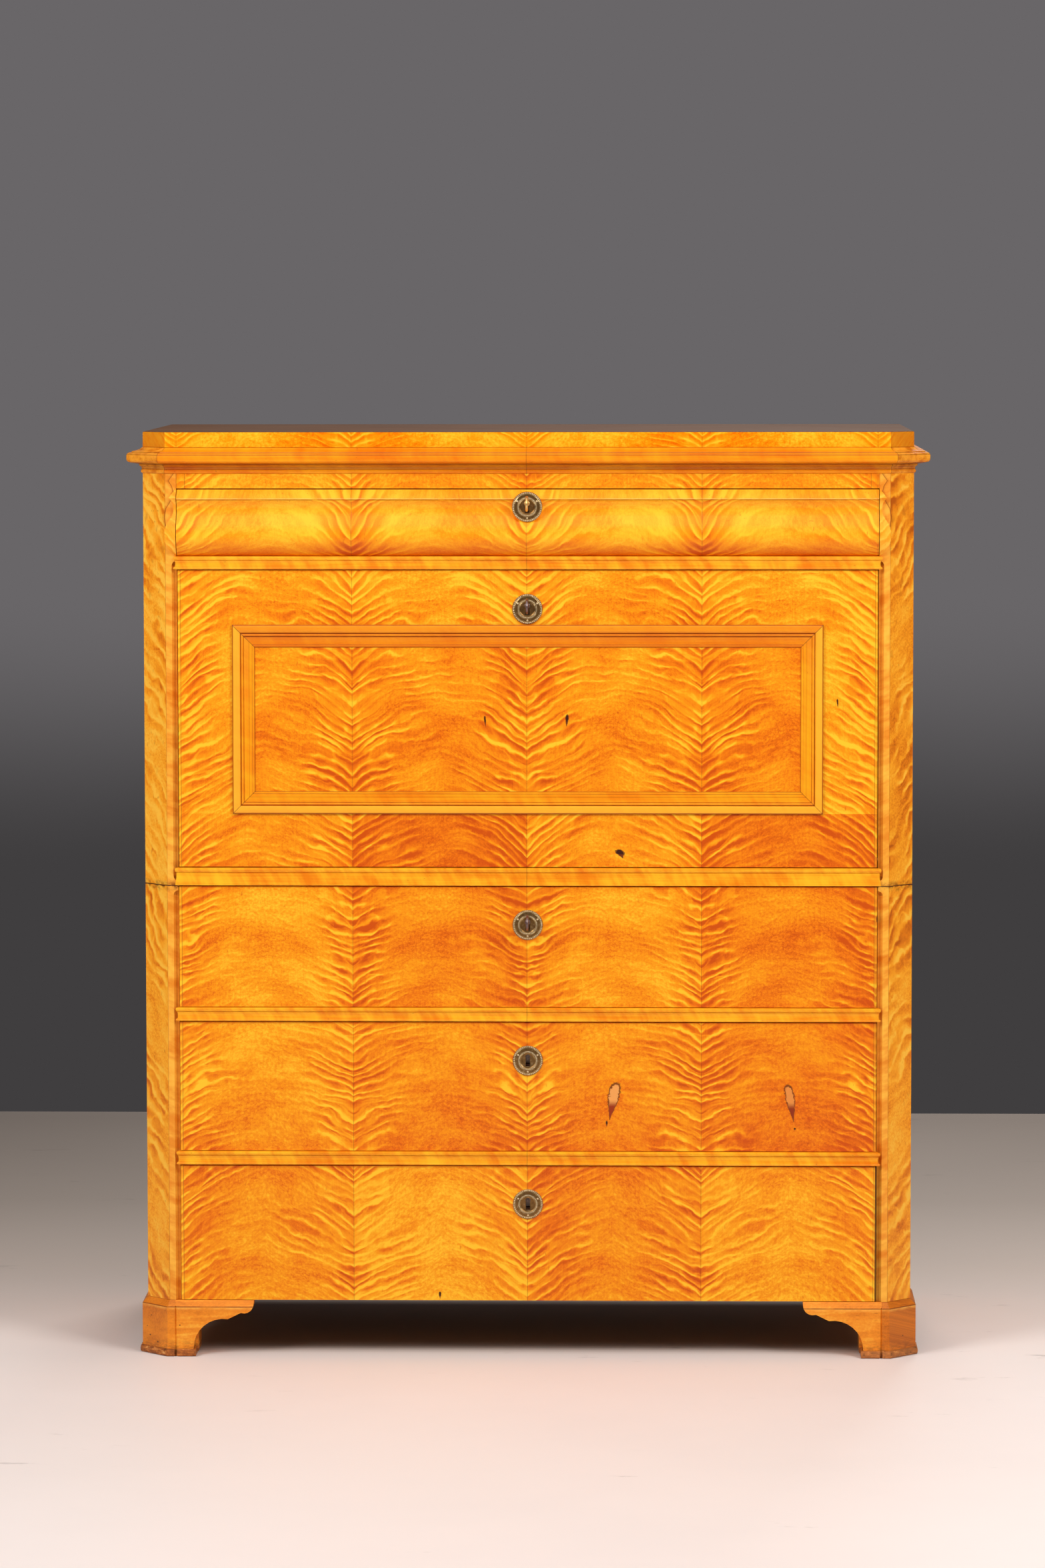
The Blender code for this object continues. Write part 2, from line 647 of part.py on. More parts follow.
def post(low, high, hollow_stops):
    """Right corner post with its canted face and the hollow along its inner edge.

    The hollow runs out in a quarter ball at each stop; beyond it the edge is only eased.
    """
    levels = [(low + SEAT / 2, HOLLOW_RADIUS), (high - SEAT / 2, HOLLOW_RADIUS)]
    for stop, way in zip(hollow_stops, (-1, 1)):
        if low < stop < high:
            ball = arc((0, stop), way * HOLLOW_RADIUS, 0, STOP_SWEEP, STOP_STEPS)
            run_out = [(level, radius * way) for radius, level in ball]
            end = (high - SEAT / 2 if way > 0 else low + SEAT / 2, EDGE_EASE)
            levels = [pair for pair in levels if pair[0] != end[0]]
            levels += run_out + [(run_out[-1][0] + way * EDGE_EASE, EDGE_EASE), end]
    rings = []
    for level, radius in sorted(levels):
        corner = arc((half_opening, 0), radius, 90, 0, HOLLOW_SIDES)
        plan = corner + [(cant_edge, 0), (half_width, CANT), (half_width, POST_DEPTH),
                         (half_opening, POST_DEPTH)]
        rings.append([(x, y, level) for x, y in plan])
    return loft(rings)


def return_block():
    """The frieze drawer's profile carried onto the post and mitred back on itself."""
    rings = []
    for height, out in frieze_profile():
        level = z_frieze_drawer + height
        rings.append([(half_opening, -out, level), (half_opening + out, -out, level),
                      (half_opening + out, SINK, level), (half_opening, SINK, level)])
    return loft(rings)


def make_posts():
    """Canted corner posts of both cases; the upper ones carry the return blocks and pivots."""
    lower = post(FOOT_HEIGHT, z_joint, (0, z_joint - 2 * HOLLOW_RADIUS))
    upper = post(z_joint, z_top_board,
                 (z_joint + 2 * HOLLOW_RADIUS, z_frieze_drawer - 2 * HOLLOW_RADIUS))
    upper = joined(upper, return_block())
    bore = rod(PIVOT_RADIUS + PIVOT_CLEARANCE, PIVOT_REACH + PIVOT_CLEARANCE, "x",
               (half_fall, pivot_y, pivot_z))
    upper = cut(upper, bore)
    for name, shape in (("lower", lower), ("upper", upper)):
        add_piece(f"{name}_post_left", mirrored(shape), BIRCH_POST)
        add_piece(f"{name}_post_right", shape, BIRCH_POST)


def make_sides():
    """Side panels behind the posts."""
    for name, low, high in (("lower", FOOT_HEIGHT, z_joint), ("upper", z_joint, z_top_board)):
        shape = block((side_inner, half_width), (POST_DEPTH + SEAT, CARCASE_DEPTH),
                      (low + SEAT / 2, high - SEAT / 2))
        add_piece(f"{name}_side_left", mirrored(shape), BIRCH)
        add_piece(f"{name}_side_right", shape, BIRCH)


def make_backs():
    """Backs of wide upright boards glued up between the sides, their joints open behind."""
    for name, low, high, count in (("lower", FOOT_HEIGHT, z_joint, LOWER_BACK_BOARDS),
                                   ("upper", z_joint, z_top_board, UPPER_BACK_BOARDS)):
        edge = side_inner - SEAT / 2
        shape = block((-edge, edge), (back_inner + SEAT / 2, CARCASE_DEPTH),
                      (low + SEAT / 2, high - SEAT / 2))
        for index in range(1, count):
            x = 2 * edge * index / count - edge
            shape = cut(shape, block((x - BACK_JOINT / 2, x + BACK_JOINT / 2),
                                     (CARCASE_DEPTH - BACK_JOINT, CARCASE_DEPTH + OVERRUN),
                                     (low - OVERRUN, high + OVERRUN)))
        add_piece(f"{name}_back", shape, PINE)


def bolt_mortise(z, shift=0):
    """The hole over a lock that takes its bolt."""
    half = BOLT_WIDTH / 2 + MORTISE_CLEARANCE
    return block((shift - half, shift + half),
                 (BOLT_SET - MORTISE_CLEARANCE, BOLT_SET + BOLT_THICKNESS + MORTISE_CLEARANCE),
                 (z - OVERRUN, z + MORTISE_DEPTH))


def with_guides(shape, front, level):
    """A board with a strip glued on along each side, which keeps the drawer over it straight."""
    guide = block((half_opening, side_inner - SEAT), (front, back_inner - SEAT),
                  (level - SINK, level + GUIDE_HEIGHT))
    return joined(shape, mirrored(guide), guide)


def make_case_boards():
    """The boards and rails that tie the cases together."""
    inset = SEAT / 2
    back = back_inner - inset
    inner_front = FRONT_THICKNESS + CLOSING_GAP
    board_top = FOOT_HEIGHT + BOARD_THICKNESS
    bottom = prism(case_plan(inner_front, back), "z", FOOT_HEIGHT + inset, board_top)
    add_piece("lower_bottom_board", with_guides(bottom, POST_DEPTH + 2 * SEAT, board_top), PINE)
    add_piece("lower_top_board",
              prism(case_plan(inner_front, back), "z", z_joint - DUST_BOARD_THICKNESS,
                    z_joint - inset), PINE)
    for name, level in (("lower_divider", z_lower_divider), ("upper_divider", z_upper_divider)):
        rail = moulded_rail(level, DIVIDER_HEIGHT, DIVIDER_SHARES, DIVIDER_PROUD,
                            rail_plan(RAIL_DEPTH))
        add_piece(name, cut(rail, bolt_mortise(level)), BIRCH_MOULDING)
        top = level + DIVIDER_HEIGHT
        dust_board = board((-side_inner, side_inner), (RAIL_DEPTH + inset, back_inner),
                           (top - DUST_BOARD_THICKNESS, top + inset))
        place = name.split("_")[0]
        add_piece(place + "_dust_board", with_guides(dust_board, RAIL_DEPTH + 2 * SEAT, top), PINE)

    trough = turned([(0, -half_width), (trough_radius, -half_width), (trough_radius, half_width),
                     (0, half_width)], 48, "x", (0, pivot_y, pivot_z))
    rail = moulded_rail(z_joint, JOINT_RAIL_HEIGHT, JOINT_SHARES, JOINT_PROUD,
                        rail_plan(RAIL_DEPTH))
    desk_foot = desk_top - DESK_BOARD_THICKNESS
    rebate = block((-half_width, half_width), (pivot_y - SEAT, RAIL_DEPTH + OVERRUN),
                   (desk_foot - inset, z_fall + OVERRUN))
    add_piece("joint_rail", cut(rail, trough.copy(), rebate, bolt_mortise(z_joint)),
              BIRCH_MOULDING)

    desk = prism(case_plan(pivot_y, back), "z", desk_foot + inset, desk_top)
    notch = block((lining_outer, half_width),
                  (pivot_y + stay_near - 2 * STAY_NOTCH_CLEARANCE,
                   pivot_y + stay_far + STAY_NOTCH_CLEARANCE),
                  (desk_foot - OVERRUN, desk_top + OVERRUN))
    add_piece("desk_board", cut(desk, trough, mirrored(notch), notch), BIRCH_INSIDE)

    divider = moulded_rail(z_frieze_divider, FRIEZE_DIVIDER_HEIGHT, DIVIDER_SHARES, DIVIDER_PROUD,
                           case_plan(-inset, back))
    divider = with_guides(divider, POST_DEPTH + 2 * SEAT, z_frieze_drawer - inset)
    add_piece("frieze_divider", cut(divider, bolt_mortise(z_frieze_divider)), BIRCH_MOULDING)
    rail = board((-half_opening, half_opening), (-inset, FRONT_THICKNESS),
                 (z_frieze_rail, z_top_board))
    add_piece("frieze_rail", cut(rail, bolt_mortise(z_frieze_rail, FRIEZE_BOLT_SHIFT)), BIRCH)


def make_top():
    """The mitred cornice round three sides and the canted top board over it."""
    face = [(SEAT + proud * CORNICE_PROUD, z_cornice + SEAT / 2 + height * (CORNICE_HEIGHT - SEAT))
            for height, proud in CORNICE_SHARES]
    profile = [(SEAT, face[0][1])] + face + [(SEAT, face[-1][1])]
    add_piece("cornice", swept(carcase_path(CARCASE_DEPTH), profile), BIRCH_MOULDING)
    rings = []
    for inward, level in ((0, z_top_board + SEAT / 2), (0, z_top - TOP_EDGE), (TOP_EDGE, z_top)):
        rings.append([(point.x, point.y, level)
                      for point in offset_path(carcase_path(CARCASE_DEPTH), -inward)])
    add_piece("top_board", loft(rings), BIRCH)


# Locks, escutcheons and keys

def lock_foot(key_z):
    """The lower edge of a lock case."""
    return key_z - BIT_ROOM - LOCK_MARGIN


def lock_cutters(head, key_z):
    """The recess for a lock in the back of a front, open at its top edge."""
    foot = lock_foot(key_z)
    case = block((-LOCK_WIDTH / 2 - LOCK_GAP, LOCK_WIDTH / 2 + LOCK_GAP),
                 (LOCK_SET - LOCK_GAP, FRONT_THICKNESS + OVERRUN), (foot - LOCK_GAP, head + OVERRUN))
    lip = block((-SELVEDGE_WIDTH / 2 - LOCK_GAP, SELVEDGE_WIDTH / 2 + LOCK_GAP),
                (SELVEDGE_SET - LOCK_GAP, FRONT_THICKNESS + OVERRUN),
                (head - SELVEDGE_THICKNESS - LOCK_GAP, head + OVERRUN))
    return case, lip


def lock(head, key_z, shift=0, loose_bolt=True):
    """A half mortise lock: a case with a top plate, a round room for the bit and a bolt slot."""
    foot = lock_foot(key_z)
    back = FRONT_THICKNESS - LOCK_GAP
    shape = block((-LOCK_WIDTH / 2, LOCK_WIDTH / 2), (LOCK_SET, back), (foot, head - SELVEDGE_THICKNESS / 2))
    lip = block((-SELVEDGE_WIDTH / 2, SELVEDGE_WIDTH / 2), (SELVEDGE_SET, back),
                (head - SELVEDGE_THICKNESS, head))
    room = turned([(0, -OVERRUN), (BIT_ROOM, -OVERRUN), (BIT_ROOM, BIT_ROOM_DEPTH),
                   (0, BIT_ROOM_DEPTH)], BIT_ROOM_SIDES, "y", (0, LOCK_SET, key_z))
    shape = cut(joined(shape, lip), room)
    if loose_bolt:
        half = BOLT_WIDTH / 2 + BOLT_GAP
        slot = block((shift - half, shift + half),
                     (BOLT_SET - BOLT_GAP, BOLT_SET + BOLT_THICKNESS + BOLT_GAP),
                     (head - BOLT_HEIGHT - 2 * BOLT_GAP, head + OVERRUN))
        shape = cut(shape, slot)
    return shape


def bolt(head, shift=0):
    """The bolt, drawn back flush with the top plate."""
    return block((shift - BOLT_WIDTH / 2, shift + BOLT_WIDTH / 2),
                 (BOLT_SET, BOLT_SET + BOLT_THICKNESS),
                 (head - BOLT_GAP - BOLT_HEIGHT, head - BOLT_GAP))


def escutcheon(seat_y, centre_z):
    """A round plate with two raised rings and a keyhole, its back at seat_y."""
    rings = [(out * ESCUTCHEON_RADIUS, up * ESCUTCHEON_HEIGHT) for out, up in ESCUTCHEON_SHARES]
    profile = [(0, rings[0][1])] + rings + [(0, 0)]
    plate = turned(profile, ESCUTCHEON_SIDES, "-y", (0, seat_y, centre_z))
    hole = keyhole_cutter(centre_z + KEY_LIFT, 0, seat_y - ESCUTCHEON_HEIGHT - OVERRUN,
                          seat_y + OVERRUN)
    return cut(plate, hole)


def key(seat_y, key_z):
    """A key in its lock: bit down, bow upright and seen edge on from the front."""
    face = seat_y - ESCUTCHEON_HEIGHT
    bow_near = face - KEY_STANDOUT
    tip = LOCK_SET + BIT_ROOM_DEPTH - BOLT_GAP
    collar = tip - face + SINK
    length = tip - bow_near + BOW_WIRE
    shank = turned([(0, 0), (KEY_SHANK, 0), (KEY_SHANK, collar), (KEY_COLLAR, collar),
                    (KEY_COLLAR, collar + KEY_COLLAR_LENGTH),
                    (KEY_SHANK, collar + KEY_COLLAR_LENGTH), (KEY_SHANK, length), (0, length)],
                   ROD_SIDES, "-y", (0, tip, key_z))
    bit_front = LOCK_SET + BOLT_GAP + SINK
    bit = block((-BIT_THICKNESS / 2, BIT_THICKNESS / 2), (bit_front, bit_front + BIT_WIDTH),
                (key_z - BIT_LENGTH, key_z - KEY_SHANK / 2))
    centre_y = bow_near - BOW_LENGTH / 2
    rings = []
    for step in range(BOW_SIDES):
        angle = 2 * pi * step / BOW_SIDES
        out_y = (BOW_LENGTH / 2 - BOW_WIRE) * cos(angle)
        out_z = (BOW_HEIGHT / 2 - BOW_WIRE) * sin(angle)
        rings.append([(BOW_WIRE * sin(turn), centre_y + out_y + BOW_WIRE * cos(turn) * cos(angle),
                       key_z + out_z + BOW_WIRE * cos(turn) * sin(angle))
                      for turn in (pi * (2 * side + 1) / BOW_WIRE_SIDES
                                   for side in range(BOW_WIRE_SIDES))])
    return joined(shank, loft(rings, wrap=True), bit)


def add_lock(name, frame, head, centre_z, seat_y, with_key, shift=0, key_finish=None):
    """Lock, escutcheon and, where the key is in, its bolt and key as bodies of their own."""
    key_z = centre_z + KEY_LIFT
    add_piece(f"{name}_lock", lock(head, key_z, shift, with_key), IRON, frame)
    add_piece(f"{name}_escutcheon", escutcheon(seat_y, centre_z), BRASS, frame)
    if with_key:
        add_frame(f"{name}_bolt_frame", (shift, BOLT_SET + BOLT_THICKNESS / 2, head), frame)
        add_piece(f"{name}_bolt", bolt(head, shift), IRON, f"{name}_bolt_frame")
        add_frame(f"{name}_key_frame", (0, seat_y, key_z), frame)
        add_piece(f"{name}_key", key(seat_y, key_z), key_finish, f"{name}_key_frame")


# Drawers

def drawer_box(low, high):
    """Sides, back and bottom of a long drawer, open at the front where its front closes it."""
    front = FRONT_THICKNESS + SEAT
    back = back_inner - BACK_GAP
    shape = block((-half_front, half_front), (front, back), (low, high))
    room = block((BOX_WALL - half_front, half_front - BOX_WALL), (front - OVERRUN, back - BOX_WALL),
                 (low + BOX_BOTTOM, high + OVERRUN))
    return cut(shape, room)


def make_flat_drawer(name, low, high, box_low, box_high, with_key, key_finish=None):
    """One of the three long drawers of the lower case."""
    frame = name + "_drawer_frame"
    foot = low + DRAWER_FOOT_GAP
    head = high - DRAWER_TOP_GAP
    centre_z = high - ESCUTCHEON_DROP
    add_frame(frame, (0, 0, foot), "cabinet")
    front = block((-half_front, half_front), (0, FRONT_THICKNESS), (foot, head))
    case, lip = lock_cutters(head, centre_z + KEY_LIFT)
    hole = keyhole_cutter(centre_z + KEY_LIFT, KEYHOLE_CLEARANCE, -OVERRUN, LOCK_SET + SINK)
    add_piece(name + "_drawer_front", cut(front, case, lip, hole), BIRCH, frame)
    add_piece(name + "_drawer_box", drawer_box(box_low, box_high), PINE, frame)
    add_lock(name, frame, head, centre_z, -SEAT, with_key, key_finish=key_finish)


def make_frieze_drawer():
    """The drawer whose face swells out under a hollow and an arris."""
    frame = "frieze_drawer_frame"
    foot = z_frieze_drawer + DRAWER_FOOT_GAP
    head = z_frieze_rail - DRAWER_TOP_GAP
    add_frame(frame, (0, 0, foot), "cabinet")
    scale = (head - foot) / FRIEZE_DRAWER_HEIGHT
    face = [(-out, foot + height * scale) for height, out in frieze_profile()]
    outline = [(FRONT_THICKNESS, foot)] + face + [(FRONT_THICKNESS, head)]
    front = prism(outline, "x", -half_front, half_front)
    centre_z = z_frieze_rail - FRIEZE_ESCUTCHEON_DROP
    boss = turned([(0, 0), (ESCUTCHEON_RADIUS, 0), (ESCUTCHEON_RADIUS, BOSS_PROUD + SINK),
                   (0, BOSS_PROUD + SINK)], ESCUTCHEON_SIDES, "-y", (0, SINK, centre_z))
    case, lip = lock_cutters(head, centre_z + KEY_LIFT)
    hole = keyhole_cutter(centre_z + KEY_LIFT, KEYHOLE_CLEARANCE, -BOSS_PROUD - OVERRUN,
                          LOCK_SET + SINK)
    add_piece("frieze_drawer_front", cut(joined(front, boss), case, lip, hole), BIRCH, frame)
    add_piece("frieze_drawer_box",
              drawer_box(z_frieze_drawer + SEAT, z_frieze_rail - BOX_TOP_GAP), PINE, frame)
    add_lock("frieze", frame, head, centre_z, -BOSS_PROUD - SEAT, True, FRIEZE_BOLT_SHIFT,
             BRASS_KEY)


def make_long_drawers():
    """The frieze drawer and the three drawers of the lower case."""
    make_frieze_drawer()
    make_flat_drawer("top", z_top_drawer, z_joint, z_top_drawer + SEAT,
                     z_joint - DUST_BOARD_THICKNESS - BOX_TOP_GAP, True, STEEL_KEY)
    make_flat_drawer("middle", z_middle_drawer, z_upper_divider, z_middle_drawer + SEAT,
                     z_upper_divider - BOX_TOP_GAP, False)
    make_flat_drawer("bottom", FOOT_HEIGHT, z_lower_divider, FOOT_HEIGHT + BOARD_THICKNESS + SEAT,
                     z_lower_divider - BOX_TOP_GAP, False)


# Fall

def panel_moulding():
    """The mitred frame moulding on the fall's face."""
    rings = []
    for across, up in ((0, 0),) + PANEL_SHARES + ((1, 0),):
        inward = across * PANEL_MOULDING_WIDTH
        x = half_opening - PANEL_MOULDING_INSET - inward
        low = z_fall + PANEL_MOULDING_LIFT + inward
        high = z_frieze_divider - PANEL_MOULDING_DROP - inward
        y = -SEAT - up * PANEL_MOULDING_HEIGHT
        rings.append([(-x, y, low), (x, y, low), (x, y, high), (-x, y, high)])
    return loft(rings, wrap=True)


def quadrant_stay():
    """Right stay: a strap let into the fall's end, an arc about the pivot, and two pins.

    The arc ends in a pin that meets the back of the post when the fall is down.
    """
    half = STRAP_WIDTH / 2
    pin_y = POST_DEPTH + SEAT + STAY_PIN_RADIUS
    dip = asin((pin_y - pivot_y) / STAY_RADIUS)
    pivot = (pivot_y, pivot_z)
    tip = (pivot_y + STAY_RADIUS * cos(dip), pivot_z - STAY_RADIUS * sin(dip))
    foot = -degrees(dip)
    near = arc(pivot, stay_near, degrees(acos(half / stay_near)), foot, STAY_STEPS)
    end = arc(tip, STAY_WIDTH / 2, foot - 180, foot, STAY_END_STEPS)
    far = arc(pivot, stay_far, foot, degrees(acos(-half / stay_far)), STAY_STEPS)
    low = fall_foot + SEAT
    outline = [(pivot_y - half, low), (pivot_y + half, low)] + near[:-1] + end + far[1:]
    blade = prism(outline, "x", half_fall - STAY_THICKNESS, half_fall)
    inside = half_fall - STAY_THICKNESS / 2
    pivot_pin = rod(PIVOT_RADIUS, STAY_THICKNESS / 2 + PIVOT_REACH, "x",
                    (inside, pivot_y, pivot_z))
    stop_pin = rod(STAY_PIN_RADIUS, STAY_THICKNESS / 2 + STAY_PIN_REACH, "x",
                   (inside, tip[0], tip[1]))
    return joined(blade, pivot_pin, stop_pin)


def stay_recess():
    """The recess for the strap and the arc in the fall's right end."""
    x = (half_fall - STAY_THICKNESS - SEAT, half_fall + OVERRUN)
    half = STRAP_WIDTH / 2 + SEAT
    top = pivot_z + stay_far + SEAT
    strap = block(x, (pivot_y - half, pivot_y + half), (fall_foot - OVERRUN, top))
    mouth = block(x, (pivot_y, FRONT_THICKNESS + OVERRUN),
                  (pivot_z + sqrt(stay_near ** 2 - pivot_y ** 2) - SEAT, top + SEAT))
    return strap, mouth


def make_fall():
    """The fall with its moulding, writing surface, stays and lock."""
    frame = "fall_frame"
    add_frame(frame, (0, pivot_y, pivot_z), "cabinet")
    centre_z = z_frieze_divider - ESCUTCHEON_DROP
    panel = block((-half_fall, half_fall), (0, FRONT_THICKNESS), (fall_foot, fall_head))
    case, lip = lock_cutters(fall_head, centre_z + KEY_LIFT)
    hole = keyhole_cutter(centre_z + KEY_LIFT, KEYHOLE_CLEARANCE, -OVERRUN, LOCK_SET + SINK)
    writing_low = fall_foot + WRITING_LIFT
    writing_high = lock_foot(centre_z + KEY_LIFT) - WRITING_LOCK_GAP
    writing_x = half_fall - WRITING_INSET
    bed = block((-writing_x - SEAT, writing_x + SEAT),
                (FRONT_THICKNESS - WRITING_THICKNESS - SEAT, FRONT_THICKNESS + OVERRUN),
                (writing_low - SEAT, writing_high + SEAT))
    panel = cut(panel, case, lip, hole, bed)
    for tool in stay_recess():
        panel = cut(panel, mirrored(tool), tool)
    add_piece("fall_panel", panel, BIRCH, frame)
    add_piece("fall_moulding", panel_moulding(), BIRCH_MOULDING, frame)
    surface = block((-writing_x, writing_x), (FRONT_THICKNESS - WRITING_THICKNESS, FRONT_THICKNESS),
                    (writing_low, writing_high))
    add_piece("writing_surface", surface, LEATHER, frame)
    stay = quadrant_stay()
    add_piece("fall_stay_left", mirrored(stay), BRASS, frame)
    add_piece("fall_stay_right", stay, BRASS, frame)
    add_lock("fall", frame, fall_head, centre_z, -SEAT, True, key_finish=STEEL_KEY)


# Interior fitting

def small_drawer(x_low, x_high, low, high):
    """A small drawer with a thicker front and a turned knob tenoned into it."""
    front = fitting_front + SEAT
    back = back_inner - SMALL_DRAWER_BACK_ROOM
    tray = block((x_low, x_high), (front, back), (low, high))
    room = block((x_low + SMALL_WALL, x_high - SMALL_WALL), (front + SMALL_FRONT, back - SMALL_WALL),
                 (low + SMALL_WALL, high + OVERRUN))
    rings = [(out * KNOB_RADIUS, up * KNOB_LENGTH) for up, out in KNOB_SHARES]
    profile = [(0, -SINK), (rings[0][0], -SINK)] + rings + [(0, KNOB_LENGTH)]
    knob = turned(profile, KNOB_SIDES, "-y", ((x_low + x_high) / 2, front, (low + high) / 2))
    return joined(cut(tray, room), knob)


def partition(x, low, high):
    """An upright board whose front edge is scooped between two square corners."""
    front = fitting_front + SEAT
    back = back_inner - SEAT
    scoop = []
    for step in range(SCALLOP_STEPS + 1):
        share = step / SCALLOP_STEPS
        scoop.append((front + SCALLOP_DEPTH * sin(pi * share) ** 2, high - (high - low) * share))
    outline = [(back, low), (back, high)] + scoop
    return prism(outline, "x", x - PARTITION_THICKNESS / 2, x + PARTITION_THICKNESS / 2)


def make_interior():
    """The nest of small drawers and the pigeonholes over it, behind the fall."""
    inset = SEAT / 2
    z_drawers = desk_top + SHELF_THICKNESS
    z_nest_top = z_drawers + SMALL_DRAWER_HEIGHT
    z_holes = z_nest_top + SHELF_THICKNESS
    z_shelf = z_holes + PIGEONHOLE_HEIGHT
    back = (fitting_front, back_inner)

    count = len(SMALL_DRAWERS)
    bay = (2 * lining_inner - (count - 1) * PARTITION_THICKNESS) / count
    pitch = bay + PARTITION_THICKNESS
    nest = board((-lining_inner, lining_inner), back, (desk_top, z_drawers))
    for index in range(1, count):
        x = index * pitch - PARTITION_THICKNESS / 2 - lining_inner
        upright = block((x - PARTITION_THICKNESS / 2, x + PARTITION_THICKNESS / 2),
                        (fitting_front + SEAT, back_inner - SEAT),
                        (z_drawers - SINK, z_nest_top + SINK))
        nest = joined(nest, upright)
    nest = joined(nest, board((-lining_inner, lining_inner), back, (z_nest_top, z_holes)))
    add_piece("interior_drawer_nest", nest, BIRCH_INSIDE)

    lining = board((lining_inner, lining_outer),
                   (FRONT_THICKNESS + CLOSING_GAP, back_inner), (desk_top, z_frieze_divider))
    shelf = block((-lining_inner - SINK, lining_inner + SINK),
                  (fitting_front + inset, back_inner - SEAT), (z_shelf, z_shelf + SHELF_THICKNESS))
    holes = joined(shelf, mirrored(lining), lining)
    centre = (CENTRE_HOLE_WIDTH + PARTITION_THICKNESS) / 2
    outer = (centre + lining_inner) / 2
    for x in (-outer, -centre, centre, outer):
        holes = joined(holes, partition(x, z_holes + inset, z_shelf + SINK))
    add_piece("interior_pigeonholes", holes, BIRCH_INSIDE)

    for index, place in enumerate(SMALL_DRAWERS):
        x = index * pitch - lining_inner
        frame = f"small_drawer_{place}_frame"
        add_frame(frame, (x + bay / 2, fitting_front, z_drawers), "cabinet")
        add_piece(f"small_drawer_{place}",
                  small_drawer(x + SMALL_GAP, x + bay - SMALL_GAP, z_drawers + inset + SEAT,
                               z_nest_top - SMALL_GAP), BIRCH_INSIDE, frame)


def main():
    """Clear the scene and build the secretaire."""
    for old in list(bpy.data.objects):
        bpy.data.objects.remove(old)
    add_frame("cabinet")
    make_feet()
    make_posts()
    make_sides()
    make_backs()
    make_case_boards()
    make_top()
    make_long_drawers()
    make_fall()
    make_interior()
    frames["cabinet"][0].location.y = front_plane_y


main()
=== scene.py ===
"""Looks of the fall front secretaire: flame birch veneer, moulded rails, brass and steel fittings.

The solids of the cabinet come from the packed frame and keep their places. Each solid is copied,
its edges are eased, and the copy gets its own wood, leather or metal and takes the solid's place.
Only the escutcheons and keys are modelled new. All sizes are metres, +Z is up and the cabinet's
front faces -Y.
"""
import json
from math import cos, pi, radians, sin

import bmesh
import bpy
from bpy.props import FloatProperty, FloatVectorProperty, IntProperty, PointerProperty
from mathutils import Matrix, Vector

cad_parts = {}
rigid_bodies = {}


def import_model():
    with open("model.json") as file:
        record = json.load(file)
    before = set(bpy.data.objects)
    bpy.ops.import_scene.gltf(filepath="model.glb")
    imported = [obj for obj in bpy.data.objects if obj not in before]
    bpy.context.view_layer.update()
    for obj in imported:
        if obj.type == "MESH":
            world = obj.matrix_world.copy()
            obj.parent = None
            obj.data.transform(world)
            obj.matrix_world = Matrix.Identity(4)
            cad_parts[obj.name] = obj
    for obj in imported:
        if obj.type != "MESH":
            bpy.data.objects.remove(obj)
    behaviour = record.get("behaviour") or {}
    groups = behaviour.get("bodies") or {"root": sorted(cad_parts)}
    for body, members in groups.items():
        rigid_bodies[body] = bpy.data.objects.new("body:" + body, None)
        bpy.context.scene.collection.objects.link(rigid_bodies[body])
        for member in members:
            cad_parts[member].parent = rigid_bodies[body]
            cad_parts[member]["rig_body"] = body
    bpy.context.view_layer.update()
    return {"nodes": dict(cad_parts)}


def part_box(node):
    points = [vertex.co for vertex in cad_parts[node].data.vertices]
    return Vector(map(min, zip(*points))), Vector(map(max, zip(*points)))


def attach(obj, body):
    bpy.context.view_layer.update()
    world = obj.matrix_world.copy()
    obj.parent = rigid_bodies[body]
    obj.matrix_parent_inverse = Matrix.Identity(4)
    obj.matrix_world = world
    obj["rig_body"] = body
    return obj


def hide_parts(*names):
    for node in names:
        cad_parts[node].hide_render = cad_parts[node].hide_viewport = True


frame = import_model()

bl_info = {
    "name": "Birch Secretaire",
    "version": (1, 0, 0),
    "blender": (4, 5, 0),
    "location": "3D View > Sidebar > Secretaire",
    "description": "Finishes a fall front secretaire in flame birch, brass and steel",
    "category": "Object",
}

SOLIDS = frame["nodes"]

LOCKED = ("frieze", "fall", "top", "middle", "bottom")
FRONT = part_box("top_drawer_front")[0].y       # the plane of the flat drawer fronts
FRONT_THICKNESS = 0.022
HALF_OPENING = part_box("top_drawer_front")[1].x + 0.001  # from the middle to a post's inner edge
CANT_EDGE = 0.5245                            # from the middle to where a post's cant begins
CANT = 0.035                                  # how far back the cant goes
HALF_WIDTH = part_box("lower_side_right")[1].x
CASE_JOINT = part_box("lower_post_right")[1].z  # where the upper case stands on the lower one
FRIEZE_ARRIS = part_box("frieze_drawer_front")[1].z - 0.0135  # where its slope meets its hollow
FRIEZE_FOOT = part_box("frieze_divider")[1].z
FRIEZE_DEPTH = 0.02                           # what a swelling of one stands for
# The frieze's swelling: height over its foot, and how far it stands out in parts of its depth.
FRIEZE_SWELLING = ((0.0, 0.03), (0.005, 0.305), (0.01, 0.51), (0.0175, 0.705), (0.0305, 0.825),
                   (0.0435, 0.705), (0.053, 0.42), (0.060, 0.24), (0.068, 0.17), (0.076, 0.27),
                   (0.0839, 0.515), (0.0974, 0.03))
HALF_BLOCK = FRIEZE_SWELLING[-1][0] / 2       # half the height of a post's return block
CANT_LEAN = 0.72                              # how far the streaks of the cants lean, in radians
MITRE_TURN = 0.4142                           # the tangent of half the cornice's turn
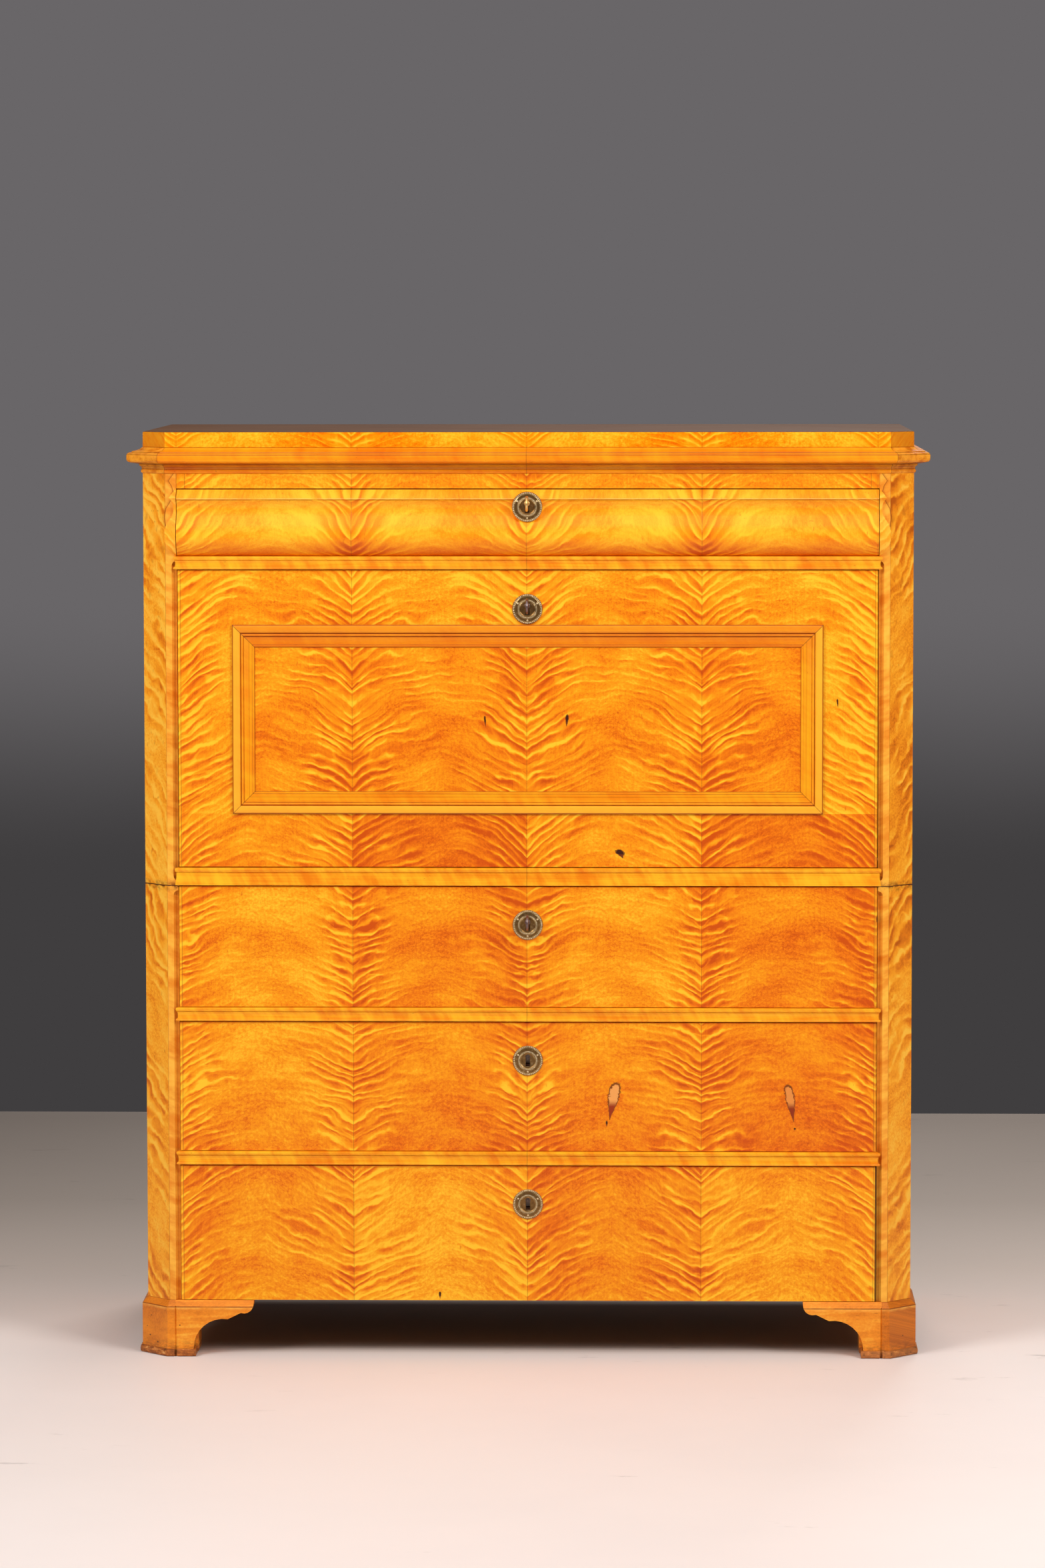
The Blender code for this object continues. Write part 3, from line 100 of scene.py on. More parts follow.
# Dark lines on the panel moulding, painted shade that is heavier along its top length: distance
# from its outer edge, half width, and how dark they are, everywhere and along the top.
PANEL_SHADE_LINES = ((0.0002, 0.0007, 0.85, 0.6), (0.0126, 0.0005, 0.62, 0.9),
               (0.0172, 0.0004, 0.12, 0.85), (0.0243, 0.0003, 0.3, 0.0),
               (0.0322, 0.0004, 0.55, 0.55))
# Painted shade with old polish on the cornice, dark lines under its roll and in its quirks:
# height, half width, and how dark they are.
CORNICE_SHADE_LINES = ((1.3204, 0.0003, 0.5), (1.3169, 0.0004, 0.5), (1.3041, 0.0009, 0.55),
                 (1.2964, 0.0003, 0.4))
# Holes and flecks in the feet's faces: x, height and reach.
NAIL_HOLES = ((-0.5556, 0.0265, 0.0009), (-0.5433, 0.0180, 0.0011), (-0.5530, 0.0560, 0.0006),
              (-0.5095, 0.0455, 0.0008), (-0.5600, 0.0390, 0.0005), (0.5480, 0.0300, 0.0007))
CHAMFER_LINE = 0.0724                         # where the feet's chamfer begins
# An escutcheon's face, from its rim inwards: radius, and height over the plate's edge.
PLATE_RADIUS, PLATE_DEPTH = 0.0220, 0.0009
PLATE_TURNING = ((0.02175, 0.00055), (0.02145, 0.0008), (0.02125, 0.0001), (0.0191, 0.0001),
                 (0.0188, 0.0007), (0.0184, 0.0009), (0.0165, 0.00072), (0.0146, 0.00086),
                 (0.0142, 0.0010), (0.0139, 0.0002), (0.0121, 0.0002), (0.0118, 0.00095),
                 (0.0114, 0.0010), (0.0105, 0.0004), (0.0088, 0.0003))
OUTER_RING, INNER_RING, PIN_RING = 0.0202, 0.0130, 0.0164  # how far out the beads and pins lie
PIN_RADIUS = 0.0015
KEYHOLE_RADIUS, KEYHOLE_RISE = 0.0037, 0.0055  # the keyhole's head, and its place over the middle
KEYHOLE_WIDTH, KEYHOLE_HEIGHT, KEYHOLE_DROP = 0.0056, 0.0150, 0.0010  # its foot, under the head
KNOB_REACH = 0.0165                           # how far a small drawer's knob stands out
DOVETAIL = 0.017                              # half the way from one dovetail to the next
BOW_LENGTH, BOW_HEIGHT, BOW_WIRE = 0.0240, 0.0230, 0.0016
SHANK_RADIUS = 0.0027
COLLARS = ((0.0030, 0.0040, 0.0022), (0.0062, 0.0034, 0.0012))  # behind the bow, radius, depth
KEY_BIT = (0.0026, 0.0054, 0.0080)
BIT_INSET, BIT_DROP = 0.0034, 0.0062          # from the key's end, and under its shank
NOTCH, NOTCH_DEPTH = (0.0025, 0.0043), 0.0022  # the notch in a key's bit, from the key's end
BACKDROP = 2.282                              # how far behind the middle the backdrop hangs
# Painted falloff of the lamps' light on the floor: a place along y and the colour there.
FLOOR_PAINTED_FALLOFF = ((-1.6, (251, 241, 239)), (-1.03, (248, 239, 237)), (-0.55, (246, 238, 237)),
                (-0.05, (240, 231, 228)), (0.54, (217, 204, 196)), (1.22, (183, 171, 163)),
                (2.2, (155, 144, 137)))
# The photo's camera: where it stands, what lies to its right and what it looks at.
CAMERA_PLACE = (0.18946, -8.47472, 1.53417)
CAMERA_RIGHT = (0.999717, 0.023791, -0.001036)
CAMERA_AHEAD = (-0.023794, 0.996186, -0.083951)


def paint(red, green, blue):
    """A colour as it is mixed on screen, turned into light."""
    levels = [channel / 255 for channel in (red, green, blue)]
    return tuple(level / 12.92 if level <= 0.04045 else ((level + 0.055) / 1.055) ** 2.4
                 for level in levels)


KNOT, KNOT_FOOT = paint(58, 22, 8), paint(110, 44, 12)
# Dirt and painted shade in the hollows of the pine.
PINE_GRIME_AND_SHADE = paint(58, 36, 20)
# What the shader's own sockets hold for each kind of surface.
POLISH = {"Specular IOR Level": 0.2, "Coat Weight": 0.12, "Coat Roughness": 0.2}
RUBBED = {"Specular IOR Level": 0.25, "Coat Weight": 0.08, "Coat Roughness": 0.3}
BARE = {"Specular IOR Level": 0.2}
DULL = {"Specular IOR Level": 0.06}


# Settings

def colour_setting(name, description, *shade):
    return FloatVectorProperty(name=name, description=description, default=paint(*shade), size=3,
                               min=0, max=1, subtype="COLOR")


def length_setting(name, description, default, low=0.0001):
    return FloatProperty(name=name, description=description, default=default, min=low,
                         unit="LENGTH", subtype="DISTANCE")


def lamp_setting(name, description, default):
    return FloatProperty(name=name, description=description, default=default, min=0,
                         subtype="POWER")


def count_setting(name, description, default):
    return IntProperty(name=name, description=description, default=default, min=8)


class VeneerSettings(bpy.types.PropertyGroup):
    """Flame birch veneer of the fronts."""
    leaf_width: length_setting("Leaf Width", "Width of one leaf of veneer between two joints",
                               0.2535, 0.05)
    leaf_middle: length_setting("Middle Joint", "Place of the joint between the middle leaves",
                                -0.001, -1.0)
    streak: colour_setting("Streak", "Thin bright lines of the flame figure", 252, 194, 42)
    honey: colour_setting("Honey", "Lighter ground of the birch", 244, 152, 8)
    amber: colour_setting("Amber", "Darker ground of the birch", 230, 114, 0)
    ember: colour_setting("Ember", "Darkest shading beside the streaks", 202, 78, 0)


class WoodSettings(bpy.types.PropertyGroup):
    """Mouldings, feet, the inside and the pine of the cabinet."""
    # The groove colour is old polish in grooves and joints, and also painted shade in the cornice's
    # quirks, under the frieze's arris and in narrow hollows.
    groove: colour_setting("Groove", "Old polish gathered in grooves and joints", 96, 34, 4)
    inside: colour_setting("Inside Birch", "Plain birch of the fitting behind the fall",
                           226, 152, 74)
    pine: colour_setting("Pine", "Aged pine of drawer boxes, boards and backs", 206, 160, 104)
    leather: colour_setting("Leather", "Leather of the writing surface", 92, 38, 24)
    board_edge: length_setting("Board Edge", "How far the edges of boards are eased", 0.0007)
    moulding_edge: length_setting("Moulding Edge", "How far the arrises of mouldings are eased",
                                  0.0005)
    crease: FloatProperty(
        name="Crease", description="Faces that meet at more than this angle keep a crisp edge",
        default=radians(38), min=0, max=pi, subtype="ANGLE")


class FittingSettings(bpy.types.PropertyGroup):
    """Escutcheons, keys, locks and stays."""
    patina: colour_setting("Patina", "Darkened brass of the escutcheons", 134, 100, 58)
    rubbed: colour_setting("Rubbed Brass", "Brass where hands have kept it bright", 236, 208, 150)
    key_steel: colour_setting("Key Steel", "Worn steel of two of the keys", 118, 104, 104)
    bead_radius: length_setting("Bead", "Radius of a bead in the outer ring of an escutcheon",
                                0.00124, 0.0002)
    outer_beads: count_setting("Outer Beads", "Number of beads in the outer ring", 48)
    inner_beads: count_setting("Inner Beads", "Number of beads in the inner ring", 46)


class StageSettings(bpy.types.PropertyGroup):
    """Floor, backdrop, lamps and camera."""
    lens: FloatProperty(name="Lens", description="Focal length for a picture 36 mm high",
                        default=130.9, min=10, unit="CAMERA")
    front_lamps: lamp_setting("Front Lamps", "Power of each soft lamp in front", 84.0)
    top_lamp: lamp_setting("Top Lamp", "Power of the soft lamp overhead", 24.0)
    rear_lamp: lamp_setting("Rear Lamp", "Power of the soft lamp behind", 60.0)
    surround: FloatProperty(name="Surround", default=0.13, min=0,
                            description="Level of the light that comes from all sides")
    backdrop: colour_setting("Backdrop", "Grey of the upper backdrop", 105, 102, 104)
    # Painted falloff: the backdrop darkens towards the floor.
    backdrop_foot: colour_setting("Backdrop Foot", "Grey of the backdrop near the floor",
                                  64, 62, 63)


SETTINGS = {"veneer": VeneerSettings, "wood": WoodSettings, "fittings": FittingSettings,
            "stage": StageSettings}


def settings(family):
    return getattr(bpy.context.scene, "secretaire_" + family)


# Shader building

class Value:
    """A shader node's output, reckoned with like a number and mixed like a colour."""

    def __init__(self, socket):
        self.socket = socket

    def op(self, operation, *others):
        return make("Math", (self, *others), operation=operation)

    def __add__(self, other):
        return self.op("ADD", other)

    def __sub__(self, other):
        return self.op("SUBTRACT", other)

    def __rsub__(self, other):
        return make("Math", (other, self), operation="SUBTRACT")

    def __mul__(self, other):
        return self.op("MULTIPLY", other)

    def __truediv__(self, other):
        return self.op("DIVIDE", other)

    def __pow__(self, other):
        return self.op("POWER", other)

    def __abs__(self):
        return self.op("ABSOLUTE")

    def ease(self, low, high, first=0.0, last=1.0, how="SMOOTHSTEP"):
        """Runs softly from first to last while the value goes from low to high."""
        return make("MapRange", (self, low, high, first, last), interpolation_type=how)

    def near(self, place, reach, soft):
        """One where the value is within reach of a place, and nought past it."""
        return abs(self - place).ease(reach + soft, reach)

    def toward(self, other, share, how="MIX"):
        """The colour mixed with another, which has it all where share is one."""
        return blend(share, self, other, how)

    def ramp(self, stops, how="LINEAR"):
        """A colour or a shade read off stops; each is a place and what is seen there."""
        low, high = stops[0][0], stops[-1][0]
        node = put("ValToRGB", (self.ease(low, high, how="LINEAR"),))
        node.color_ramp.interpolation = how
        elements = node.color_ramp.elements
        for _ in stops[2:]:
            elements.new(0.5)
        for element, (place, shade) in zip(elements, stops):
            element.position = (place - low) / (high - low)
            element.color = (*(shade if isinstance(shade, tuple) else [shade] * 3), 1.0)
        return Value(node.outputs[0])


class Work:
    """What is under way: a node tree, its material and a point on the piece."""
    tree = material = point = None


def feed(socket, value):
    """Joins a value to a socket; a tuple with values in it is put together first."""
    if isinstance(value, tuple) and any(isinstance(part, Value) for part in value):
        value = make("CombineXYZ", value)
    if isinstance(value, Value):
        Work.tree.links.new(value.socket, socket)
    else:
        socket.default_value = (*value, 1.0) if socket.type == "RGBA" else value


def put(kind, inputs=(), **given):
    """Adds a node with its settings; its inputs come in order, or under names."""
    node = Work.tree.nodes.new("ShaderNode" + kind)
    count = len(Work.tree.nodes)
    node.location = (count % 14 * 190, -(count // 14) * 260)
    for setting, value in given.items():
        setattr(node, setting, value)
    for name, value in inputs.items() if isinstance(inputs, dict) else enumerate(inputs):
        feed(node.inputs[name], value)
    return node


def make(kind, inputs=(), output=0, **given):
    return Value(put(kind, inputs, **given).outputs[output])


def parts(vector):
    return [Value(socket) for socket in put("SeparateXYZ", (vector,)).outputs]


def blend(share, first, second, how="MIX"):
    return make("Mix", {0: share, 6: first, 7: second}, 2, data_type="RGBA", blend_type=how,
                clamp_factor=True)


def noise(vector, detail=2.0, roughness=0.5, scale=1.0):
    return make("TexNoise", {"Vector": vector, "Scale": scale, "Detail": detail,
                             "Roughness": roughness})


def use(name, *inputs):
    """Adds a shader group, feeds it in its own order and gives all it puts out."""
    node = put("Group", inputs, node_tree=bpy.data.node_groups[name])
    return [Value(socket) for socket in node.outputs]


def begin(name):
    """Starts a finish, and gives a point on the piece, whole and in parts."""
    Work.material = bpy.data.materials.new("finish_" + name)  # the solids' own have other names
    Work.material.use_nodes = True
    Work.tree = Work.material.node_tree
    Work.tree.nodes.clear()
    Work.point = make("TexCoord", output="Object")
    return Work.point, *parts(Work.point)


def edge_relief():
    return make("Attribute", output="Fac", attribute_name="edge")


def handled_with_painted_light(colour, grime, amount=1.0):
    """The colour with pale wear and a painted highlight on its arrises, dirt and painted shade in
    its hollows, and how dull they leave it.
    """
    return use("Handling And Painted Light", Work.point, colour, edge_relief(), grime, amount)


def close(colour, roughness, height, grime=None, amount=1.0, depth=0.0002, shine=POLISH):
    """Wears the colour, with a painted highlight on arrises and painted shade in hollows, if it is
    given a colour for hollows, and puts the shader at the end.
    """
    if grime is not None:
        colour, dull = handled_with_painted_light(colour, grime, amount)
        roughness = roughness + dull
    bump = make("Bump", {"Height": height, "Strength": 0.5, "Distance": depth})
    shader = make("BsdfPrincipled", {"Base Color": colour, "Roughness": roughness,
                                     "Normal": bump, **shine})
    put("OutputMaterial", (shader,))


# Shader groups

GROUPS = []
VECTORS = ("point",)
COLOURS = ("colour", "streak", "honey", "amber", "ember", "light", "dark", "grime", "base",
           "metal", "rubbed", "tarnish")


def title(name):
    return name.replace("_", " ").title()


def group(name, inputs, outputs):
    """Keeps the function below as the recipe of a node group: it gets inputs, gives outputs."""
    def socket(tree, part, way):
        kind = "Vector" if part in VECTORS else "Color" if part in COLOURS else "Float"
        tree.interface.new_socket(name=title(part), in_out=way, socket_type="NodeSocket" + kind)

    def keep(lay):
        def build():
            tree = bpy.data.node_groups.new(name, "ShaderNodeTree")
            for part in inputs.split():
                socket(tree, part, "INPUT")
            for part in outputs.split():
                socket(tree, part, "OUTPUT")
            Work.tree = tree
            given = tree.nodes.new("NodeGroupInput").outputs
            made = tree.nodes.new("NodeGroupOutput").inputs
            results = lay(*(Value(given[title(part)]) for part in inputs.split()))
            for slot, result in zip(made, results):
                feed(slot, result)
        GROUPS.append(build)
        return lay
    return keep


@group("Fine Grain", "point seed", "fibre fleck")
def fine_grain(point, seed):
    """Fibres and pores that run along Z: the closest look of any of the woods."""
    x, y, z = parts(point)
    fibre = noise((x * 900, y * 900, z * 16 + seed), 3, 0.6)
    pores = noise((x * 340, y * 340, z * 95 + seed), 1)
    patches = noise((x, y + seed, z), scale=16)
    return fibre, pores.ease(0.66, 0.78) * patches.ease(0.42, 0.62)


@group("Curl Figure", "along across pitch length seed", "ripple field")
def curl_figure(along, across, pitch, length, seed):
    """Curly figure: short ripples, sharp and bright on one side, shaded on the other."""
    along, across = along / length, across / pitch
    sway = noise((along * 0.5, across * 0.2, seed), 4)
    turn = across * (2 * pi) + (sway - 0.5) * 25
    wave = (turn + turn.op("SINE") * 0.7).op("SINE")
    crest = (wave * 0.5 + 0.5) ** 1.5
    reach = noise((along, across * 0.6, seed + 5), 3, 0.6)
    held = reach.ease(0.36, 0.6, 0.3, 1.4)
    field = noise((along * 0.8, across * 0.95 + sway * 4, seed + 2), 3, 0.6)
    lick = noise((along * 0.75, across * 0.62 + sway * 3, seed + 11))
    tongue = lick.near(0.5, 0.004, 0.05)
    ripple = ((crest - 0.42) * held * 1.6 + (field - 0.5) * 3.4 * 0.6 + tongue * reach * 1.1 - 0.2)
    return ripple, field


@group("Matched Leaves", "point leaf_width middle rise reach seed",
       "along across near joint place")
def matched_leaves(point, width, middle, rise, reach, seed):
    """Book-matched leaves: arches that rise from every joint and meet it in a V."""
    x, y, z = parts(point)
    off, level = x - middle, z - y
    along = off.op("PINGPONG", width)
    beside = off.op("PINGPONG", width * 0.5)
    sway = noise((along * 6, level * 5, seed))
    hollow = 1 - (beside / reach * -0.8).op("EXPONENT")
    arch = rise * reach * 1.25 * (sway * 1.3 + 0.35) * hollow
    drift = noise((off * 11, level * 16, seed + 9), 3)
    across = level - arch + (drift - 0.5) * 0.018
    patch = noise((off * 17, level * 15, seed + 19))
    fall = beside / (reach * patch.ease(0.3, 0.7, 0.55, 1.45))
    calm = noise((off * 30, level * 24, seed + 37))
    near = (fall * fall * -0.9).op("EXPONENT") * calm.ease(0.36, 0.56, 0.62, 1)
    return along, across, near, beside.ease(0.0006, 0.0001), off / width


@group("Birch Colour", "point along across near tone figure mottle pitch length seed streak honey "
       "amber ember", "colour roughness height")
def birch_colour(point, along, across, near, tone, figure, mottle, pitch, length, seed,
                 streak, honey, amber, ember):
    """Mixes figure, grain and ground tone into the colour of polished birch."""
    ripple, field = use("Curl Figure", along, across, pitch, length, seed)
    fibre, fleck = use("Fine Grain", point, seed)
    cloud = noise((along * 11, across * 19, seed + 17), 3, 0.6)
    curdle = noise((along * 250, across * 300, seed + 23), 4, 0.72)
    worm = noise((along * 110, across * 150, seed + 29), 3, 0.55).near(0.5, 0.008, 0.02)
    still = mottle * (1 - near * 0.75)
    tone = (tone + ripple * (figure * near.ease(0, 1, 0.12, 1)) * 0.5
            + (cloud - 0.5) * 1.1 + (curdle - 0.5) * 1.35 * still
            + worm * still * cloud.ease(0.62, 0.35) * -0.24 + (fibre - 0.5) * 0.3)
    colour = ember
    for shade, low, high in ((amber, 0, 0.33), (honey, 0.33, 0.67), (streak, 0.67, 1.05)):
        colour = colour.toward(shade, tone.ease(low, high, how="LINEAR"))
    return (colour.toward(ember, fleck * 0.5), fibre * 0.12 + 0.3 + cloud * 0.1,
            fibre * 0.3 - fleck * 0.6 + field * 0.25)


@group("Long Grain", "run rise bands seed light dark", "colour roughness height")
def long_grain(run, rise, bands, seed, light, dark):
    """Mouldings worked along the grain: fine lines along X, faint bands across them."""
    lines = noise((run * 9, rise * 620, seed), 3, 0.6)
    band = noise(((run + rise * 0.5) * 62, rise * 22, seed + 3), 3, 0.6)
    slow = noise((run * 7, rise * 40, seed + 8))
    speck = noise((run * 170, rise * 520, seed), 1).ease(0.74, 0.82)
    tone = (lines - 0.5) * 0.7 + 0.5 + (band - 0.5) * 2.6 * bands + (slow - 0.5) * 1.1
    ground = dark.toward(light, tone.ease(0, 1))
    dirt = dark.toward((0.35, 0.3, 0.3), 1, "MULTIPLY")
    return ground.toward(dirt, speck * 0.5), lines * 0.14 + 0.3, lines * 0.5 - speck * 0.5


@group("Handling And Painted Light", "point colour edge grime amount", "colour dull")
def handling_and_painted_light(point, colour, edge, grime, amount):
    """Old polish and painted shade in the grooves, pale wear and a painted highlight on the
    arrises, in patches all over.
    """
    patches = noise(point, 3, 0.6, 38)
    # Pale wear and a painted highlight on the arrises; old polish with painted shade in narrow
    # hollows.
    rubbed = edge.ease(0.5, 1) * amount * patches.ease(0.3, 0.65, 0.25, 0.8)
    dirt_and_shade = edge.ease(-0.45, -0.95) * amount * patches.ease(0.25, 0.7, 1, 0.7)
    wear_and_painted_light = colour.toward(colour.toward((0.12, 0.12, 0.02), 1, "ADD"), rubbed * 0.5)
    return wear_and_painted_light.toward(grime, dirt_and_shade), dirt_and_shade * 0.3


@group("Hurt", "point centre_x centre_z width height lean", "middle rim up")
def hurt(point, centre_x, centre_z, width, height, lean):
    """A small upright hurt in the veneer: its open middle, its dark rim and its foot."""
    x, _, z = parts(point)
    up = (z - centre_z) / (height * 0.5)
    jag = noise(point, 2, 0.6, 260)
    side = (x - centre_x + up * lean) / (width * 0.5)
    reach = abs(side / up.ease(-1.15, 0.45, 0.16, 1)) + (jag - 0.5) * 1.1
    away = reach ** 2 + abs(up) ** 4
    return away.ease(1, 0.8), away.ease(1.75, 1.25) * away.ease(0.75, 1), up


@group("Pine Board", "run over deep board seed base", "colour roughness height")
def pine_board(run, over, deep, board, seed, base):
    """Aged pine boards: growth rings along X, knots, and a tone for every board."""
    each = seed + (over / board).op("FLOOR") * 7.3
    knots = make("TexVoronoi", {"Vector": (run * 3.2, over * 6.5, each), "Scale": 1})
    swirl = knots.ease(0.42, 0)
    sway = noise((run * 1.6, over * 9, each))
    rings = over * 118 + sway * 9 + swirl * swirl * 7 + deep * 60
    late = rings.op("PINGPONG", 1) ** 2.4
    fibre = noise((run * 11, over * 900, deep * 900))
    shade = noise((each, run * 1.5, over * 2), 1)
    amber = base.toward((0.72, 0.52, 0.34), 1, "MULTIPLY")
    dark = base.toward((0.34, 0.2, 0.12), 1, "MULTIPLY")
    colour = base.toward(amber, late * 0.62).toward(amber, shade.ease(0.3, 0.7, 0, 0.4))
    colour = colour.toward(amber, fibre.ease(0.4, 0.75, 0, 0.3))
    return (colour.toward(dark, knots.ease(0.11, 0.05, 0, 0.9)), fibre * 0.2 + 0.58,
            late * 0.4 + fibre * 0.4)


@group("Old Metal", "point edge metal rubbed tarnish wear", "colour roughness height")
def old_metal(point, edge, metal, rubbed, tarnish, wear):
    """Metal that has darkened in its hollows and been rubbed bright on its high places."""
    patches = noise(point, 4, 0.62, 210)
    grains = noise(point, 2, 0.6, 1900)
    lifted = (patches.ease(0.5, 0.78) * wear).op("MAXIMUM", edge.ease(0.2, 0.8, 0, 0.8))
    dull = patches.ease(0.46, 0.24, 0, 0.75).op("MAXIMUM", edge.ease(-0.1, -0.7))
    return (metal.toward(rubbed, lifted).toward(tarnish, dull),
            dull * 0.3 + 0.3 + grains * 0.12 - lifted * 0.1, patches * 0.6 + grains * 0.3)


# Materials

def leaf_tones(place, tones):
    """The ground tone of each of four leaves, from left to right."""
    return place.ramp(tuple(zip(range(-2, 3), (*tones, tones[-1]))), "CONSTANT")


def flamed(point, seed, rise, reach, pitch, length, tone, figure=1, mottle=1):
    """Matched leaves of flame birch: colour, roughness and height, and where the joints are."""
    veneer = settings("veneer")
    along, across, near, joint, place = use(
        "Matched Leaves", point, veneer.leaf_width, veneer.leaf_middle, rise, reach, seed)
    return *use("Birch Colour", point, along, across, near, tone(place), figure, mottle,
                pitch, length, seed, veneer.streak, veneer.honey, veneer.amber,
                veneer.ember), joint


def flame(name, seed, rise=0.66, reach=0.07, pitch=0.0125, length=0.042, figure=1, mottle=1,
          tones=(), zones=(), strip=0, arris=False, flaws=(), side=False, painted_gap_shadow=False,
          backed=True):
    """Book-matched flame birch with a ground tone for each of four leaves; zones change it."""
    veneer, groove = settings("veneer"), settings("wood").groove
    point, x, y, z = begin(name + "_birch")
    if side:
        x, y = y, x
        point = make("CombineXYZ", (x, y, z))

    def tone_at(place):
        tone = leaf_tones(place, tones)
        for half_wide, low, high, zone_tones in zones:
            within = (x.near(0, half_wide, 0.0001)
                      * z.near((low + high) / 2, (high - low) / 2, 0.0001))
            tone = tone.toward(leaf_tones(place, zone_tones), within)
        if arris:
            # Painted shade: the frieze's swelling darkens from its fullest part down to its foot.
            tone = tone + z.ease(FRIEZE_ARRIS - 0.084, FRIEZE_ARRIS - 0.05, -0.5, 0)
        return tone

    colour, roughness, height, joint = flamed(point, seed, rise, reach, pitch, length,
                                              tone_at, figure, mottle)
    if strip:  # a strip of straight birch closes each end of the front
        past = abs(x) - (HALF_OPENING - 0.001 - strip)
        light = veneer.honey if strip > 0.01 else veneer.streak
        colour = colour.toward(colour.toward(light, 0.25), past.ease(-0.0001, 0.0002))
        colour = colour.toward(paint(120, 54, 12), past.near(0, 0.00025, 0.0003) * 0.55)
    # Painted shadow: a dark band along the right end of the front stands in for the shade in a
    # wider gap.
    if painted_gap_shadow:
        colour = colour.toward(paint(74, 28, 10), x.ease(HALF_OPENING - 0.0031,
                                                         HALF_OPENING - 0.0024, 0, 0.9))
    colour = colour.toward(groove, joint * 0.45)
    height = height - joint * 1.2
    if arris:
        # Painted highlight: a pale line just over the frieze's arris; painted shade: a dark line
        # just under it; both broken in patches.
        wear_and_painted_light = noise(point, 3, 0.6, 60).ease(0.3, 0.55, 0.15, 0.6)
        for level, shade in ((0.0004, paint(252, 206, 120)), (-0.0014, groove)):
            colour = colour.toward(shade, z.near(FRIEZE_ARRIS + level, 0.0003, 0.0004) * wear_and_painted_light)
    if side:
        colour = colour.toward(groove, z.near(CASE_JOINT, 0.0005, 0.0006) * 0.85)
    for *shape, open_colour, foot_colour in flaws:
        middle, rim, up = use("Hurt", point, *shape)
        inner = blend(up.ease(-0.35, 0.1), foot_colour, open_colour)
        colour = colour.toward(paint(88, 36, 10), rim * 0.85).toward(inner, middle)
        height = height - middle * 3
    if backed:
        ground = use("Long Grain", x, z, 0.3, seed, paint(222, 160, 92), paint(186, 120, 62))[0]
        inner_face = FRONT + FRONT_THICKNESS
        colour = colour.toward(ground, y.ease(inner_face - 0.0009, inner_face - 0.0005))
    close(colour, roughness, height, groove)


def top():
    """The top board: figured birch edges under a browned upper face, clouded grey with dust and a
    painted sheen of the grey backdrop.
    """
    point, x, y, z = begin("top_birch")
    birch, roughness, height, joint = flamed(point, 1.7, 0.7, 0.05, 0.009, 0.035,
                                             lambda place: 0.76, 0.6)
    boards = use("Long Grain", x, y, 0.15, 4, paint(108, 68, 38), paint(82, 48, 24))[0]
    cloud = noise(point, 4, 0.6, 5)
    # Dust and a painted sheen: the grey clouds stand in for the backdrop's reflection as well as
    # for dust.
    dust_and_sheen = boards.toward(paint(112, 90, 74), cloud.ease(0.35, 0.7, 0.1, 0.28))
    normal = parts(make("NewGeometry", output="True Normal"))
    upper = normal[2].ease(0.7, 0.9)
    on_return = abs(x).ease(CANT_EDGE - 0.0002, CANT_EDGE + 0.0002)
    faced = birch.toward(paint(204, 112, 20), on_return * cloud.ease(0.35, 0.6, 0.3, 0.8))
    head = (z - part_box("top_board")[1].z).ease(-0.0016, -0.0002)
    colour = faced.toward(paint(112, 50, 12), head * 0.75).toward(dust_and_sheen, upper)
    colour = colour.toward(settings("wood").groove, joint * (0.45 - upper * 0.45))
    close(colour, roughness + upper * 0.25, height, settings("wood").groove, shine=DULL)


